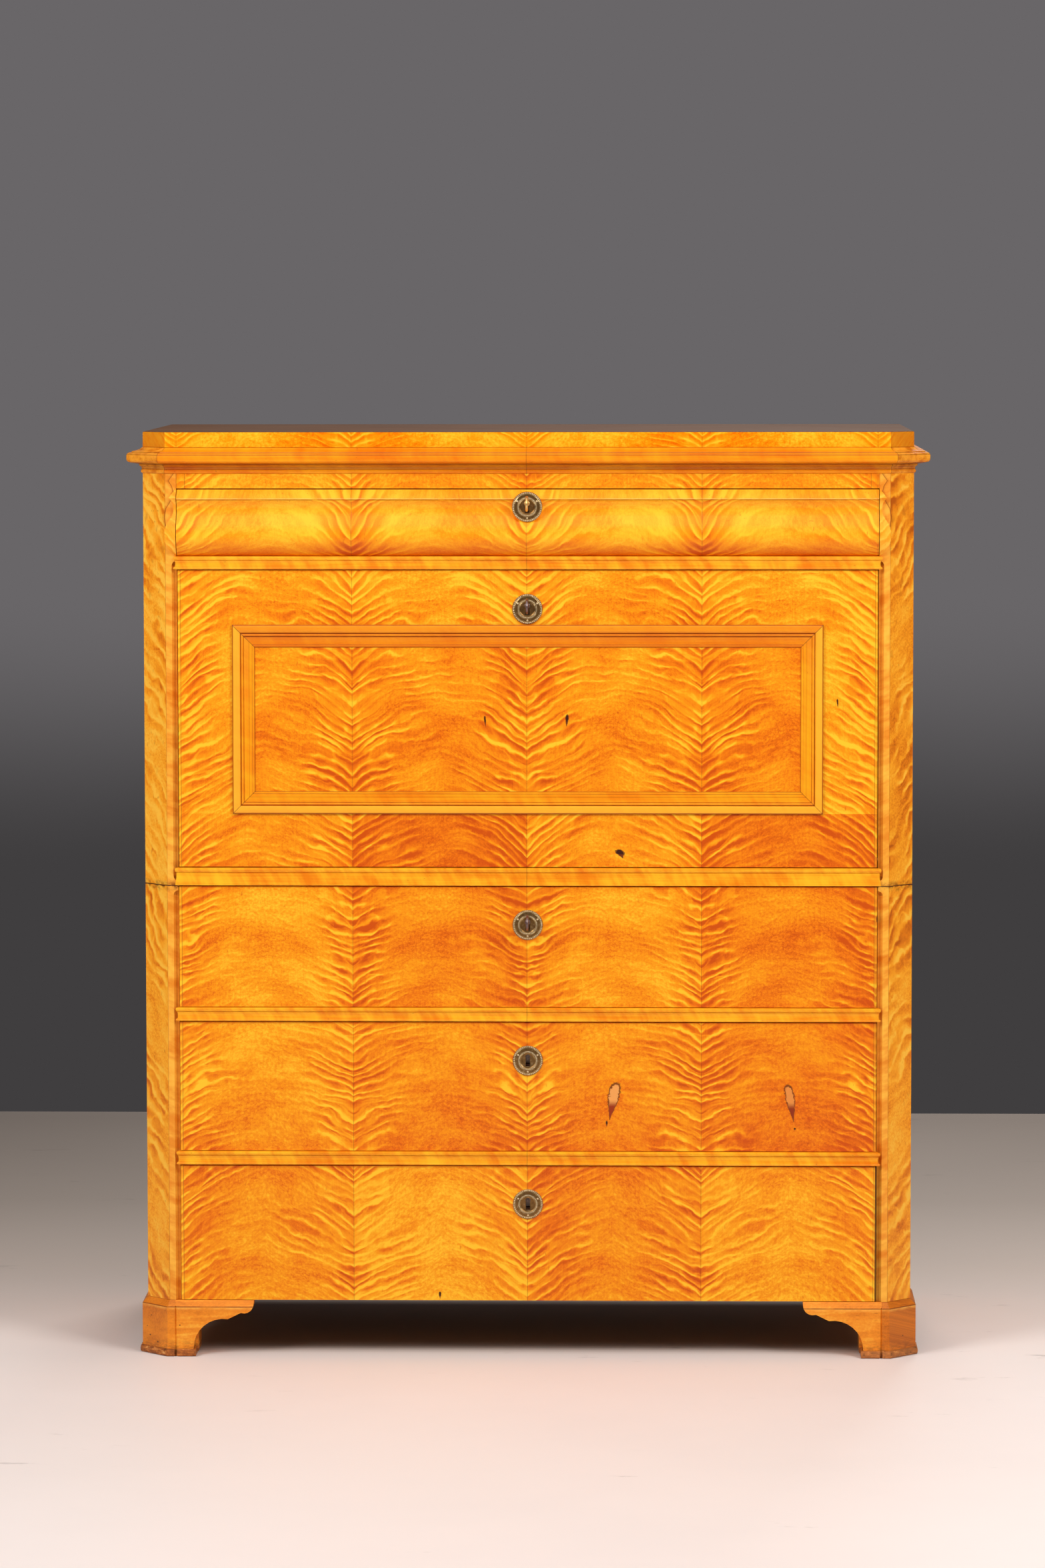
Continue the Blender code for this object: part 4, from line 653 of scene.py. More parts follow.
def post(name, side, seed):
    """Canted posts: a cross-banded front strip, and slanting streaks on the cant."""
    groove = settings("wood").groove
    point, x, y, z = begin(name + "_birch")
    out = x * side
    corner = out + y * 0.7
    along = corner * cos(CANT_LEAN) + z * sin(CANT_LEAN)
    across = z * cos(CANT_LEAN) - corner * sin(CANT_LEAN)
    near = noise((seed, z * 7, out * 20), 3).ease(0.38, 0.58, 0.1, 1)
    # Painted light: the left post's cant gets a lighter tone than the right one's, as the light
    # fell on them, and each changes with height.
    tone = z.ease(0.2, 0.9, 0.74, 0.84) if side < 0 else z.ease(0.3, 0.8, 0.68, 0.56)
    soft = paint(254, 190, 62), paint(248, 160, 28), paint(226, 124, 12), paint(186, 88, 6)
    cant, roughness, height = use("Birch Colour", point, along, across, near, tone,
                                  0.85, 1.1, 0.021, 0.045, seed, *soft)
    bands = noise((out * 26, seed, (z - out * 0.35) * 58), 3, 0.6)
    slow = noise((seed, 0, z * 9))
    front_tone = (bands.ease(0.3, 0.7) * 0.8 + 0.1 + (slow - 0.5) * 1.4 + (roughness - 0.38) * 2)
    front = blend(front_tone.ease(0, 1, how="LINEAR"), paint(224, 124, 20), paint(250, 184, 66))
    on_front = out.ease(CANT_EDGE + 0.0001, CANT_EDGE - 0.0001)
    block = use("Birch Colour", point, out + z * 0.6, z - out * 0.75, 0.9, 0.8, 0.5,
                0.5, 0.014, 0.04, seed + 3, *soft)[0]
    specks = noise((corner * 300, seed, z * 130), 3, 0.6)
    stains = noise((corner * 45, seed, z * 32))
    brown = (specks.ease(0.62, 0.7).op("MAXIMUM", stains.ease(0.62, 0.7) * 0.5)
             * z.ease(0.8, 1.2, 0.25, 0.75) * (1 - on_front))
    colour = cant.toward(front, on_front).toward(paint(176, 94, 16), brown)
    colour = colour.toward(block, y.ease(FRONT - 0.0002, FRONT - 0.0006) * on_front)
    # Painted shadow: a dark line and a soft shade on the stile round the outline of the frieze's
    # return block.
    beside = out - HALF_OPENING - (z - FRIEZE_FOOT).ramp(FRIEZE_SWELLING) * FRIEZE_DEPTH - 0.0008
    block_shadow_zone = (z.near(FRIEZE_FOOT + HALF_BLOCK, HALF_BLOCK, 0.0005)
                * y.ease(FRONT - 0.0012, FRONT - 0.0008))
    colour = colour.toward(paint(128, 56, 8), beside.near(0, 0.0003, 0.0006) * block_shadow_zone * 0.7)
    colour = colour.toward(paint(176, 84, 10), beside.ease(0.005, 0) * beside.ease(-0.0002, 0)
                           * block_shadow_zone * 0.4)
    colour = colour.toward(groove, out.near(CANT_EDGE, 0.0002, 0.0003) * 0.4)
    stain = noise(point, 4, 0.65, 120)
    level = z - CASE_JOINT + (stain - 0.5) * 0.004
    colour = colour.toward(paint(52, 20, 6), level.near(0, 0.0005, 0.0007) * 0.9)
    colour = colour.toward(groove, level.near(0, 0.001, 0.009) * stain.ease(0.4, 0.65, 0.1, 0.75))
    close(colour, roughness, height, paint(120, 54, 10), 0.6)


def moulding(name, seed, light, dark, bands, mitred=False, lines=()):
    """Long-grain moulding; mitred ones turn their grain with the corner."""
    groove = settings("wood").groove
    point, x, y, z = begin(name + "_birch")
    run = x
    if mitred:
        out, proud = abs(x), FRONT - y
        first = out - CANT_EDGE - proud * MITRE_TURN
        second = (out - HALF_WIDTH) * MITRE_TURN - proud - CANT
        past_first, past_second = (place.ease(-0.0001, 0.0001) for place in (first, second))
        run = x + past_first * (out + y) + past_second * y
    colour, roughness, height = use("Long Grain", run, z - y * 0.6, bands, seed, light, dark)
    if mitred:
        burl = noise(point, 4, 0.65, 75)
        burled = blend(burl.ease(0.34, 0.6), paint(196, 104, 14), paint(246, 166, 48))
        colour = colour.toward(burled, past_first * (1 - past_second) * 0.7)
        mitre = first.near(0, 0.0003, 0.0004).op("MAXIMUM", second.near(0, 0.0003, 0.0004))
        colour = colour.toward(groove, mitre * 0.6)
    colour = colour.toward(groove, x.near(settings("veneer").leaf_middle, 0.0002, 0.0004) * 0.6)
    # Painted shade: dark lines under the cornice's roll and in its quirks, with the old polish
    # there.
    for level, reach, share in lines:
        colour = colour.toward(groove, z.near(level, reach, 0.0004) * share)
    close(colour, roughness, height, groove)


def from_edges(x, z, node):
    """How far a point of a panel lies in from its sides, and from its top and bottom."""
    low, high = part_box(node)
    return [(last - first) / 2 - abs(axis - (last + first) / 2)
            for axis, first, last in ((x, low.x, high.x), (z, low.z, high.z))]


def panel_moulding():
    """The fall's panel moulding: four lengths of long grain, mitred at the corners, with a painted
    highlight on its outer band and painted shade in its quirks and along its top length.
    """
    _, x, _, z = begin("panel_moulding_birch")
    low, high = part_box("fall_moulding")
    from_side, from_end = from_edges(x, z, "fall_moulding")
    turn = from_end - from_side
    upright = turn.ease(-0.0001, 0.0001)
    run, rise = (make("Mix", {0: upright, 2: level, 3: standing}, data_type="FLOAT")
                 for level, standing in ((x, z), (z, x)))
    colour, roughness, height = use("Long Grain", run, rise, 0.35, 6.4, paint(252, 168, 20),
                                                 paint(232, 124, 4))
    inset = from_side.op("MINIMUM", from_end)
    half = (high.z - low.z) / 2
    upper = (z - (low.z + half)).ease(half * 0.5, half * 0.6) * turn.ease(0.0001, -0.0001)
    # Painted highlight on the outer band, fainter along the top length.
    colour = colour.toward(paint(254, 184, 52), inset.near(0.0062, 0.0042, 0.0014)
                           * upper.ease(0, 1, 0.6, 0.35))
    # Painted shade: the top length is darker, as its hollow faces down.
    colour = colour.toward(paint(214, 98, 2), upper * inset.ease(0.027, 0.029, 0.4, 0.65))
    # Painted shade: dark lines in the quirks, heavier along the top length.
    for place, reach, share, top_share in PANEL_SHADE_LINES:
        colour = colour.toward(paint(132, 46, 2), inset.near(place, reach, 0.0006)
                               * upper.ease(0, 1, share, top_share))
    colour = colour.toward(paint(70, 26, 8), turn.near(0, 0.0003, 0.0004) * 0.75)
    close(colour, roughness, height, settings("wood").groove)


def foot():
    """Bracket feet: mild figure under a pale band and a dark line at the chamfer, nail holes, a
    scuffed brown shoe.
    """
    point, x, y, z = begin("foot_birch")
    corner = abs(x).ease(0.5160, 0.5168)
    right = x.ease(-0.1, 0.1)
    # Painted shade: the right foot's cant is toned darker than the left one's, as on the posts.
    tone = corner * right.ease(0, 1, -0.12, -0.34) + 0.62 + z.ease(0.071, 0.072) * 0.06
    palette = paint(252, 188, 66), paint(238, 142, 32), paint(213, 117, 22), paint(166, 82, 16)
    colour, roughness, height = use(
        "Birch Colour", (z, y, x), x - y, z + y * 0.4, 0.55, tone,
        corner.ease(0, 1, 0.35, 0.12), 0.8, 0.014, 0.09, 12.3, *palette)
    patches = noise(point, 3, 0.6, 60)
    pale = (z.ease(CHAMFER_LINE - 0.006, CHAMFER_LINE - 0.001)
            * z.ease(CHAMFER_LINE, CHAMFER_LINE - 0.0006))
    colour = colour.toward(paint(255, 188, 82), pale * patches.ease(0.3, 0.7, 0.15, 0.7))
    colour = colour.toward(paint(120, 52, 8), z.near(CHAMFER_LINE, 0.0004, 0.0005)
                           * patches.ease(0.3, 0.6, 0.5, 0.9))
    scuffs = noise((x, y, z * 2.4), 4, 0.65, 85)
    bruises = noise(point, 3, 0.6, 170)
    shoe_colour = scuffs.ramp(((0.34, paint(104, 52, 20)), (0.5, paint(158, 84, 32)),
                               (0.6, paint(206, 124, 52)), (0.68, paint(236, 176, 104))))
    shoe_colour = shoe_colour.toward(paint(198, 128, 70), right.ease(0, 1, 0.1, 0.45))
    shoe_colour = shoe_colour.toward(paint(52, 30, 18), bruises.ease(0.58, 0.66, 0, 0.55))
    shoe = z.ease(0.0112, 0.0098)
    low_dirt = z.ease(0.030, 0.010) * scuffs.ease(0.42, 0.6) * 0.45 * (1 - shoe)
    colour = colour.toward(shoe_colour, shoe).toward(paint(120, 64, 26), low_dirt)
    height = height + scuffs * 0.3
    for place_x, place_z, reach in NAIL_HOLES:
        away = ((x - place_x) ** 2 + (z - place_z) ** 2).op("SQRT")
        colour = colour.toward(paint(66, 30, 10), away.ease(reach + 0.0004, reach) * 0.85)
        height = height - away.ease(reach, reach - 0.0004) * 2
    close(colour, roughness + shoe * 0.12, height, paint(64, 30, 12), shine=RUBBED)


def plain_birch(name, seed, base):
    """Plain straight birch of the fitting, drawer by drawer and shelf by shelf."""
    _, x, y, z = begin(name + "_birch")
    dark = tuple(channel * share for channel, share in zip(base, (0.72, 0.6, 0.5)))
    colour, roughness, height = use("Long Grain", x, z + y, 0.4, seed, base, dark)
    close(colour, roughness + 0.06, height, settings("wood").groove, 0.8, shine=RUBBED)


def pine(name, seed, along, board):
    """Aged pine, its grain along x, y or z."""
    point, *axes = begin("pine_" + name)
    axes = dict(zip("xyz", axes))
    run = axes.pop(along)
    over, deep = axes.values()
    colour, roughness, height = use("Pine Board", run, over, deep, board, seed,
                                    settings("wood").pine)
    wear_and_painted_light = handled_with_painted_light(colour, PINE_GRIME_AND_SHADE, 0.9)[0]
    dust = noise(point, 3, 0.55, 9).ease(0.35, 0.75, 0, 0.35)
    close(wear_and_painted_light.toward(paint(120, 84, 52), dust), roughness, height, shine=BARE)


def drawer_box():
    """Pine drawer boxes: grain along each wall, and dovetails at the front corners."""
    _, x, y, z = begin("pine_drawer")
    base = settings("wood").pine
    normal = parts(make("NewGeometry", output="True Normal"))
    walls, roughness, wall_height = use("Pine Board", y, z, x, 1, 2, base)
    across, _, across_height = use("Pine Board", x, y + z, z, 0.13, 5, base)
    colour = across.toward(walls, abs(normal[0]).ease(0.5, 0.7))
    behind = y - (FRONT + FRONT_THICKNESS)
    flare = z.op("PINGPONG", DOVETAIL) - behind * 0.22 - DOVETAIL / 2
    pin = (flare.ease(0.0002, -0.0002) * behind.ease(0.0142, 0.0138)
           * (abs(x) - 0.505).ease(-0.003, -0.001))
    end_grain = blend(1, base, (0.6, 0.42, 0.28), "MULTIPLY")
    wear_and_painted_light = handled_with_painted_light(colour.toward(end_grain, pin), PINE_GRIME_AND_SHADE, 0.9)[0]
    close(wear_and_painted_light, roughness, wall_height + across_height, shine=BARE)


def leather():
    """Brown leather with a tooled line round it."""
    point, x, _, z = begin("writing_leather")
    base = tuple(settings("wood").leather)
    side, end = from_edges(x, z, "writing_surface")
    inward = side.op("MINIMUM", end)
    pebble = make("TexVoronoi", {"Vector": point, "Scale": 620},
                  feature="DISTANCE_TO_EDGE").ease(0, 0.16)
    stains = noise(point, 4, 0.6, 7)
    lighter, darker = (tuple(channel * share for channel in base) for share in (1.7, 0.3))
    creased = blend(stains.ease(0.3, 0.7), base, lighter).toward(darker, pebble.ease(1, 0, 0, 0.5))
    lines = inward.near(0.014, 0.0006, 0.0002).op("MAXIMUM", inward.near(0.0175, 0.0002, 0.0002))
    gilt = lines * stains.ease(0.2, 0.5, 0.5, 1)
    close(creased.toward(paint(206, 160, 74), gilt), gilt * -0.15 + 0.5 + stains * 0.12,
          pebble - gilt * 2, depth=0.00015, shine=RUBBED)


def metal(name, ground, rubbed, tarnish, wear):
    made = use("Old Metal", begin(name)[0], edge_relief(), ground, rubbed, tarnish, wear)
    close(*made, depth=0.00005, shine={"Metallic": 1})


# Modelling

def choose(*pieces):
    """Selects only these pieces; the last is the active one."""
    if bpy.context.mode != "OBJECT":
        bpy.ops.object.mode_set(mode="OBJECT")
    bpy.ops.object.select_all(action="DESELECT")
    for piece in pieces:
        piece.select_set(True)
        bpy.context.view_layer.objects.active = piece


def apply_modifier(piece, kind, **given):
    choose(piece)
    modifier = piece.modifiers.new(kind.title(), kind)
    for name, value in given.items():
        setattr(modifier, name, value)
    bpy.ops.object.modifier_apply(modifier=modifier.name)


def ease_edges(piece, width, segments, angle, **given):
    apply_modifier(piece, "BEVEL", width=width, segments=segments, limit_method="ANGLE",
                   angle_limit=radians(angle), **given)


def smooth(piece, angle):
    choose(piece)
    bpy.ops.object.shade_smooth_by_angle(angle=angle)


def mark_edges(piece, narrow=0.004):
    """Gives each narrow face how far it stands out, from -1 in a groove to 1 on an arris."""
    shape = bmesh.new()
    shape.from_mesh(piece.data)
    layer = shape.faces.layers.float.new("edge")
    for face in shape.faces:
        longest = max(side.calc_length() for side in face.edges)
        if longest == 0 or face.calc_area() / longest > narrow:
            continue
        turn = sum(side.calc_face_angle_signed(0) * side.calc_length() for side in face.edges)
        face[layer] = max(-1.0, min(1.0, turn / (2 * longest) / radians(32)))
    shape.to_mesh(piece.data)
    shape.free()


def copy_of(mesh, name):
    piece = bpy.data.objects.new(name, mesh.copy())
    bpy.context.scene.collection.objects.link(piece)
    return piece


def dress(piece, finish):
    piece.data.materials.clear()
    piece.data.materials.append(bpy.data.materials["finish_" + finish])


def stand_in(piece, node):
    """Puts a piece in a solid's place, to move with its body."""
    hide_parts(node)
    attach(piece, SOLIDS[node]["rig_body"])


def eased(node, finish, edge):
    """A copy of a solid with its edges eased, finished and put in the solid's place."""
    piece = copy_of(SOLIDS[node].data, node + "_finished")
    choose(piece)
    bpy.ops.object.mode_set(mode="EDIT")
    bpy.ops.mesh.select_all(action="SELECT")
    bpy.ops.mesh.remove_doubles(threshold=0.00001)
    bpy.ops.mesh.dissolve_limited(angle_limit=radians(0.5))
    bpy.ops.mesh.vert_connect_concave()
    bpy.ops.object.mode_set(mode="OBJECT")
    ease_edges(piece, edge, 2, 28, miter_outer="MITER_ARC")
    mark_edges(piece)
    smooth(piece, settings("wood").crease)
    apply_modifier(piece, "WEIGHTED_NORMAL", keep_sharp=True, weight=60)
    dress(piece, finish)
    stand_in(piece, node)
    return piece


def finish_all(edge, **finishes):
    """Finishes solids whose edges are eased alike; under each finish are their names."""
    for finish, nodes in finishes.items():
        for node in nodes.split():
            eased(node, finish, getattr(settings("wood"), edge))


def select_faces(piece, wanted):
    """Selects the faces for which wanted(face) is true, in edit mode."""
    if bpy.context.mode != "EDIT_MESH":
        choose(piece)
        bpy.ops.object.mode_set(mode="EDIT")
    bpy.ops.mesh.select_mode(type="FACE")
    bpy.ops.mesh.select_all(action="DESELECT")
    shape = bmesh.from_edit_mesh(piece.data)
    for face in shape.faces:
        face.select = wanted(face)
    shape.select_flush(True)
    bmesh.update_edit_mesh(piece.data)


def front_cap(piece):
    """Selects the round cap of a turned piece that faces the front."""
    select_faces(piece, lambda face: face.normal.y < -0.99 and len(face.verts) > 12)


def blank(add, name, scale=(1, 1, 1), **given):
    """A new primitive whose place, turn and scale are worked into its mesh."""
    bpy.ops.object.select_all(action="DESELECT")
    add(**given)
    piece = bpy.context.active_object
    piece.name = name
    piece.scale = scale
    choose(piece)
    bpy.ops.object.transform_apply(location=True, rotation=True, scale=True)
    return piece


def cylinder(name, radius, depth, place, sides):
    """A closed round blank whose axis runs from front to back, with its back at place."""
    return blank(bpy.ops.mesh.primitive_cylinder_add, name, vertices=sides, radius=radius,
                 depth=depth, end_fill_type="NGON", rotation=(pi / 2, 0, 0),
                 location=(place.x, place.y - depth / 2, place.z))


def turn_front(piece, radius, profile):
    """Works the front cap of a round blank inwards to each radius and height of a profile."""
    front_cap(piece)
    height = 0.0
    for next_radius, next_height in profile:
        bpy.ops.mesh.inset(thickness=radius - next_radius, depth=0)
        if next_height != height:
            bpy.ops.transform.translate(value=(0, height - next_height, 0))
        radius, height = next_radius, next_height
    bpy.ops.object.mode_set(mode="OBJECT")


def joined(name, *pieces):
    """Joins pieces into one mesh under a name."""
    choose(*pieces)
    bpy.ops.object.join()
    piece = bpy.context.active_object
    piece.name = name
    return piece


def ring_of(bead, centre, count, start=0.0):
    """Repeats a bead in a ring about an axis from front to back."""
    first = bead.data
    mesh = bpy.data.meshes.new(bead.name)
    shape = bmesh.new()
    for index in range(count):
        step = bmesh.new()
        step.from_mesh(first)
        turn = (Matrix.Translation(centre) @ Matrix.Rotation(start + 2 * pi * index / count, 4, "Y")
                @ Matrix.Translation(-centre))
        bmesh.ops.transform(step, matrix=turn, verts=step.verts)
        step.to_mesh(mesh)
        step.free()
        shape.from_mesh(mesh)
    shape.to_mesh(mesh)
    shape.free()
    bead.data = mesh
    dress(bead, "bead_brass")
    return bead


def bead(name, radius, place, flat=0.8, segments=8, rings=6):
    """One bead, a little flattened, at a place on the escutcheon's face."""
    piece = blank(bpy.ops.mesh.primitive_uv_sphere_add, name, (1, 1, flat), segments=segments,
                  ring_count=rings, radius=radius, location=place, rotation=(pi / 2, 0, 0))
    bpy.ops.object.shade_smooth()
    return piece


def keyhole_cutter(centre, depth):
    """The keyhole's round head and its foot, as two closed shapes to cut with."""
    head = cylinder("keyhole_head", KEYHOLE_RADIUS, depth,
                    centre + Vector((0, depth / 2, KEYHOLE_RISE)), 24)
    slot = blank(bpy.ops.mesh.primitive_cube_add, "keyhole_foot",
                 (KEYHOLE_WIDTH, depth, KEYHOLE_HEIGHT), size=1,
                 location=centre + Vector((0, 0, -KEYHOLE_DROP)))
    select_faces(slot, lambda face: face.normal.z < -0.9)
    bpy.ops.transform.resize(value=(1.18, 1, 1))
    bpy.ops.object.mode_set(mode="OBJECT")
    return head, slot


# Operators

class FinishesOperator(bpy.types.Operator):
    """Mixes every finish of the cabinet from its shared shader groups"""
    bl_idname = "secretaire.finishes"
    bl_label = "Finishes"

    def execute(self, context):
        for build in GROUPS:
            build()
        self.veneers()
        post("left_post", -1, 41.0)
        post("right_post", 1, 47.0)
        moulding("rail", 2.2, paint(252, 186, 34), paint(232, 124, 6), 0.55)
        moulding("cornice", 4.6, paint(249, 164, 18), paint(226, 106, 2), 0.25, True,
                 CORNICE_SHADE_LINES)
        panel_moulding()
        foot()
        plain_birch("fitting", 9.0, settings("wood").inside)
        plain_birch("small_front", 11.0, paint(232, 150, 62))
        pine("back", 1.0, "z", 0.37)
        pine("board", 3.0, "x", 0.17)
        drawer_box()
        leather()
        brass = settings("fittings")
        metal("patinated_brass", brass.patina, brass.rubbed, paint(52, 38, 22), 0.35)
        metal("bead_brass", paint(224, 202, 160), paint(255, 246, 222), paint(96, 74, 44), 0.9)
        metal("bright_brass", paint(226, 194, 126), paint(255, 236, 186), paint(128, 92, 44), 0.7)
        metal("key_steel", brass.key_steel, paint(198, 186, 184), paint(58, 44, 38), 0.5)
        metal("lock_steel", paint(120, 112, 104), paint(188, 182, 172), paint(58, 46, 38), 0.4)
        return {"FINISHED"}

    def veneers(self):
        """Each flaw is x, z, width, height, lean and the colours of its middle and its foot."""
        low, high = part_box("fall_moulding")
        flame("fall", 3.1, 0.8, 0.085, 0.0135, 0.05, 0.95, strip=0.0042, backed=False,
              tones=(0.69, 0.77, 0.68, 0.76),
              zones=((high.x, low.z, high.z, (0.56, 0.53, 0.58, 0.48)),
                     # Painted light: under the panel the leaves alternate light and dark, standing
                     # in for chatoyance, the mirrored leaves throwing the light back unlike each
                     # other.
                     (0.6, 0.0, low.z, (0.58, 0.28, 0.62, 0.32))),
              flaws=((-0.0614, 0.9306, 0.0026, 0.015, 0.0006, KNOT, KNOT_FOOT),
                     (0.0571, 0.9317, 0.0040, 0.017, -0.0006, KNOT, KNOT_FOOT),
                     (0.4490, 0.9573, 0.0022, 0.012, 0.0004, KNOT, KNOT_FOOT),
                     (0.1351, 0.7382, 0.0105, 0.012, 0.003, KNOT, KNOT_FOOT)))
        flame("frieze_front", 8.4, 0.9, 0.055, 0.0145, 0.045, 0.72, 0.5,
              tones=(0.86, 0.79, 0.85, 0.81), arris=True)
        flame("frieze_rail", 5.2, 0.9, 0.05, 0.010, 0.032, 0.8, 0.9, strip=0.0112, backed=False,
              tones=(0.79, 0.67, 0.70, 0.66))
        top()
        flame("top_front", 14.9, reach=0.055, tones=(0.71, 0.50, 0.67, 0.46), strip=0.004,
              flaws=((0.5083, 0.6416, 0.004, 0.010, 0.0, paint(150, 70, 20), KNOT),))
        flame("middle_front", 21.6, reach=0.06, tones=(0.63, 0.48, 0.50, 0.37), strip=0.004,
              flaws=((0.1240, 0.3762, 0.0145, 0.050, -0.0045, paint(236, 160, 84),
                      paint(150, 50, 14)),
                     (0.1150, 0.3429, 0.0024, 0.008, 0.0, KNOT, KNOT_FOOT),
                     (0.3830, 0.3735, 0.0120, 0.050, 0.0040, paint(226, 140, 64),
                      paint(140, 46, 14)),
                     (0.3890, 0.3356, 0.0022, 0.004, 0.0, KNOT, KNOT_FOOT)))
        flame("bottom_front", 27.3, 0.85, 0.07, 0.0125, 0.045, strip=0.004, painted_gap_shadow=True,
              tones=(0.62, 0.80, 0.54, 0.72),
              flaws=((-0.1288, 0.0895, 0.003, 0.010, 0.0, KNOT, KNOT_FOOT),))
        flame("side", 33.0, 0.5, 0.08, 0.013, 0.06, 0.6, tones=(0.6, 0.52, 0.63, 0.55),
              side=True, backed=False)


class CaseOperator(bpy.types.Operator):
    """Eases and finishes the posts, sides, backs and boards of both cases"""
    bl_idname = "secretaire.cases"
    bl_label = "Cases"

    def execute(self, context):
        for case in ("lower", "upper"):
            finish_all("board_edge", left_post_birch=case + "_post_left",
                       right_post_birch=case + "_post_right",
                       side_birch=f"{case}_side_left {case}_side_right")
            finish_all("moulding_edge", pine_back=case + "_back", pine_board=case + "_dust_board")
        finish_all("moulding_edge", pine_board="lower_bottom_board lower_top_board")
        return {"FINISHED"}


class MouldingOperator(bpy.types.Operator):
    """Eases and finishes the cornice, the top and the moulded rails"""
    bl_idname = "secretaire.mouldings"
    bl_label = "Cornice and Rails"

    def execute(self, context):
        finish_all("moulding_edge", cornice_birch="cornice",
                   rail_birch="upper_divider lower_divider joint_rail frieze_divider")
        finish_all("board_edge", top_birch="top_board", frieze_rail_birch="frieze_rail")
        return {"FINISHED"}


class FeetOperator(bpy.types.Operator):
    """Eases and finishes the four bracket feet"""
    bl_idname = "secretaire.feet"
    bl_label = "Feet"

    def execute(self, context):
        finish_all("board_edge", foot_birch="foot_front_left foot_front_right foot_rear_left "
                   "foot_rear_right")
        return {"FINISHED"}


class DrawersOperator(bpy.types.Operator):
    """Eases and finishes the fronts and boxes of the four long drawers"""
    bl_idname = "secretaire.drawers"
    bl_label = "Drawers"

    def execute(self, context):
        for name in ("frieze", "top", "middle", "bottom"):
            finish_all("board_edge", **{name + "_front_birch": name + "_drawer_front",
                                        "pine_drawer": name + "_drawer_box"})
        return {"FINISHED"}


class FallOperator(bpy.types.Operator):
    """Finishes the fall, its panel moulding, its writing surface and its stays"""
    bl_idname = "secretaire.fall"
    bl_label = "Fall"

    def execute(self, context):
        finish_all("board_edge", fall_birch="fall_panel")
        finish_all("moulding_edge", panel_moulding_birch="fall_moulding",
                   writing_leather="writing_surface",
                   patinated_brass="fall_stay_left fall_stay_right")
        return {"FINISHED"}


class FittingOperator(bpy.types.Operator):
    """Finishes the desk board, the nest of drawers, the pigeonholes and the small drawers"""
    bl_idname = "secretaire.fitting"
    bl_label = "Inside Fitting"

    def execute(self, context):
        finish_all("moulding_edge",
                   fitting_birch="desk_board interior_drawer_nest interior_pigeonholes")
        for place in ("left", "centre", "right"):
            node = "small_drawer_" + place
            piece = eased(node, "small_front_birch", settings("wood").moulding_edge)
            piece.data.materials.append(bpy.data.materials["finish_bright_brass"])
            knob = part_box(node)[0].y + KNOB_REACH
            for face in piece.data.polygons:
                face.material_index = int(face.center.y < knob)
        return {"FINISHED"}


class EscutcheonsOperator(bpy.types.Operator):
    """Models one beaded escutcheon and fits a copy over each lock"""
    bl_idname = "secretaire.escutcheons"
    bl_label = "Escutcheons"

    def execute(self, context):
        fittings = settings("fittings")
        low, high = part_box("top_escutcheon")
        middle = (low + high) / 2
        back = Vector((middle.x, high.y, middle.z))
        plate = cylinder("plate", PLATE_RADIUS, PLATE_DEPTH, back, 96)
        turn_front(plate, PLATE_RADIUS, PLATE_TURNING)
        for cutter in keyhole_cutter(middle, 0.02):
            apply_modifier(plate, "BOOLEAN", operation="DIFFERENCE", object=cutter, solver="EXACT")
            bpy.data.objects.remove(cutter)
        ease_edges(plate, 0.00012, 1, 50)
        mark_edges(plate, 0.0012)
        smooth(plate, radians(35))
        dress(plate, "patinated_brass")
        size, face = fittings.bead_radius, high.y - 0.0010
        rings = []
        for name, count, out, sunk, start, shape in (
                ("outer_bead", fittings.outer_beads, OUTER_RING, 0.0001, 0, (size,)),
                ("inner_bead", fittings.inner_beads, INNER_RING, 0.0001, 0, (size * 0.74,)),
                ("pin", 3, PIN_RING, 0.0006, radians(-30), (PIN_RADIUS, 0.6, 12, 8))):
            radius, *rest = shape
            one = bead(name, radius, Vector((middle.x + out, face - sunk, middle.z)), *rest)
            rings.append(ring_of(one, middle, count, start))
        pattern = joined("escutcheon_pattern", *rings, plate)
        for node in (name + "_escutcheon" for name in LOCKED):
            first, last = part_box(node)
            centre = (first + last) / 2
            piece = copy_of(pattern.data, node + "_beaded")
            piece.data.transform(Matrix.Translation(
                (centre.x - middle.x, last.y - high.y, centre.z - middle.z)))
            stand_in(piece, node)
        bpy.data.objects.remove(pattern)
        return {"FINISHED"}


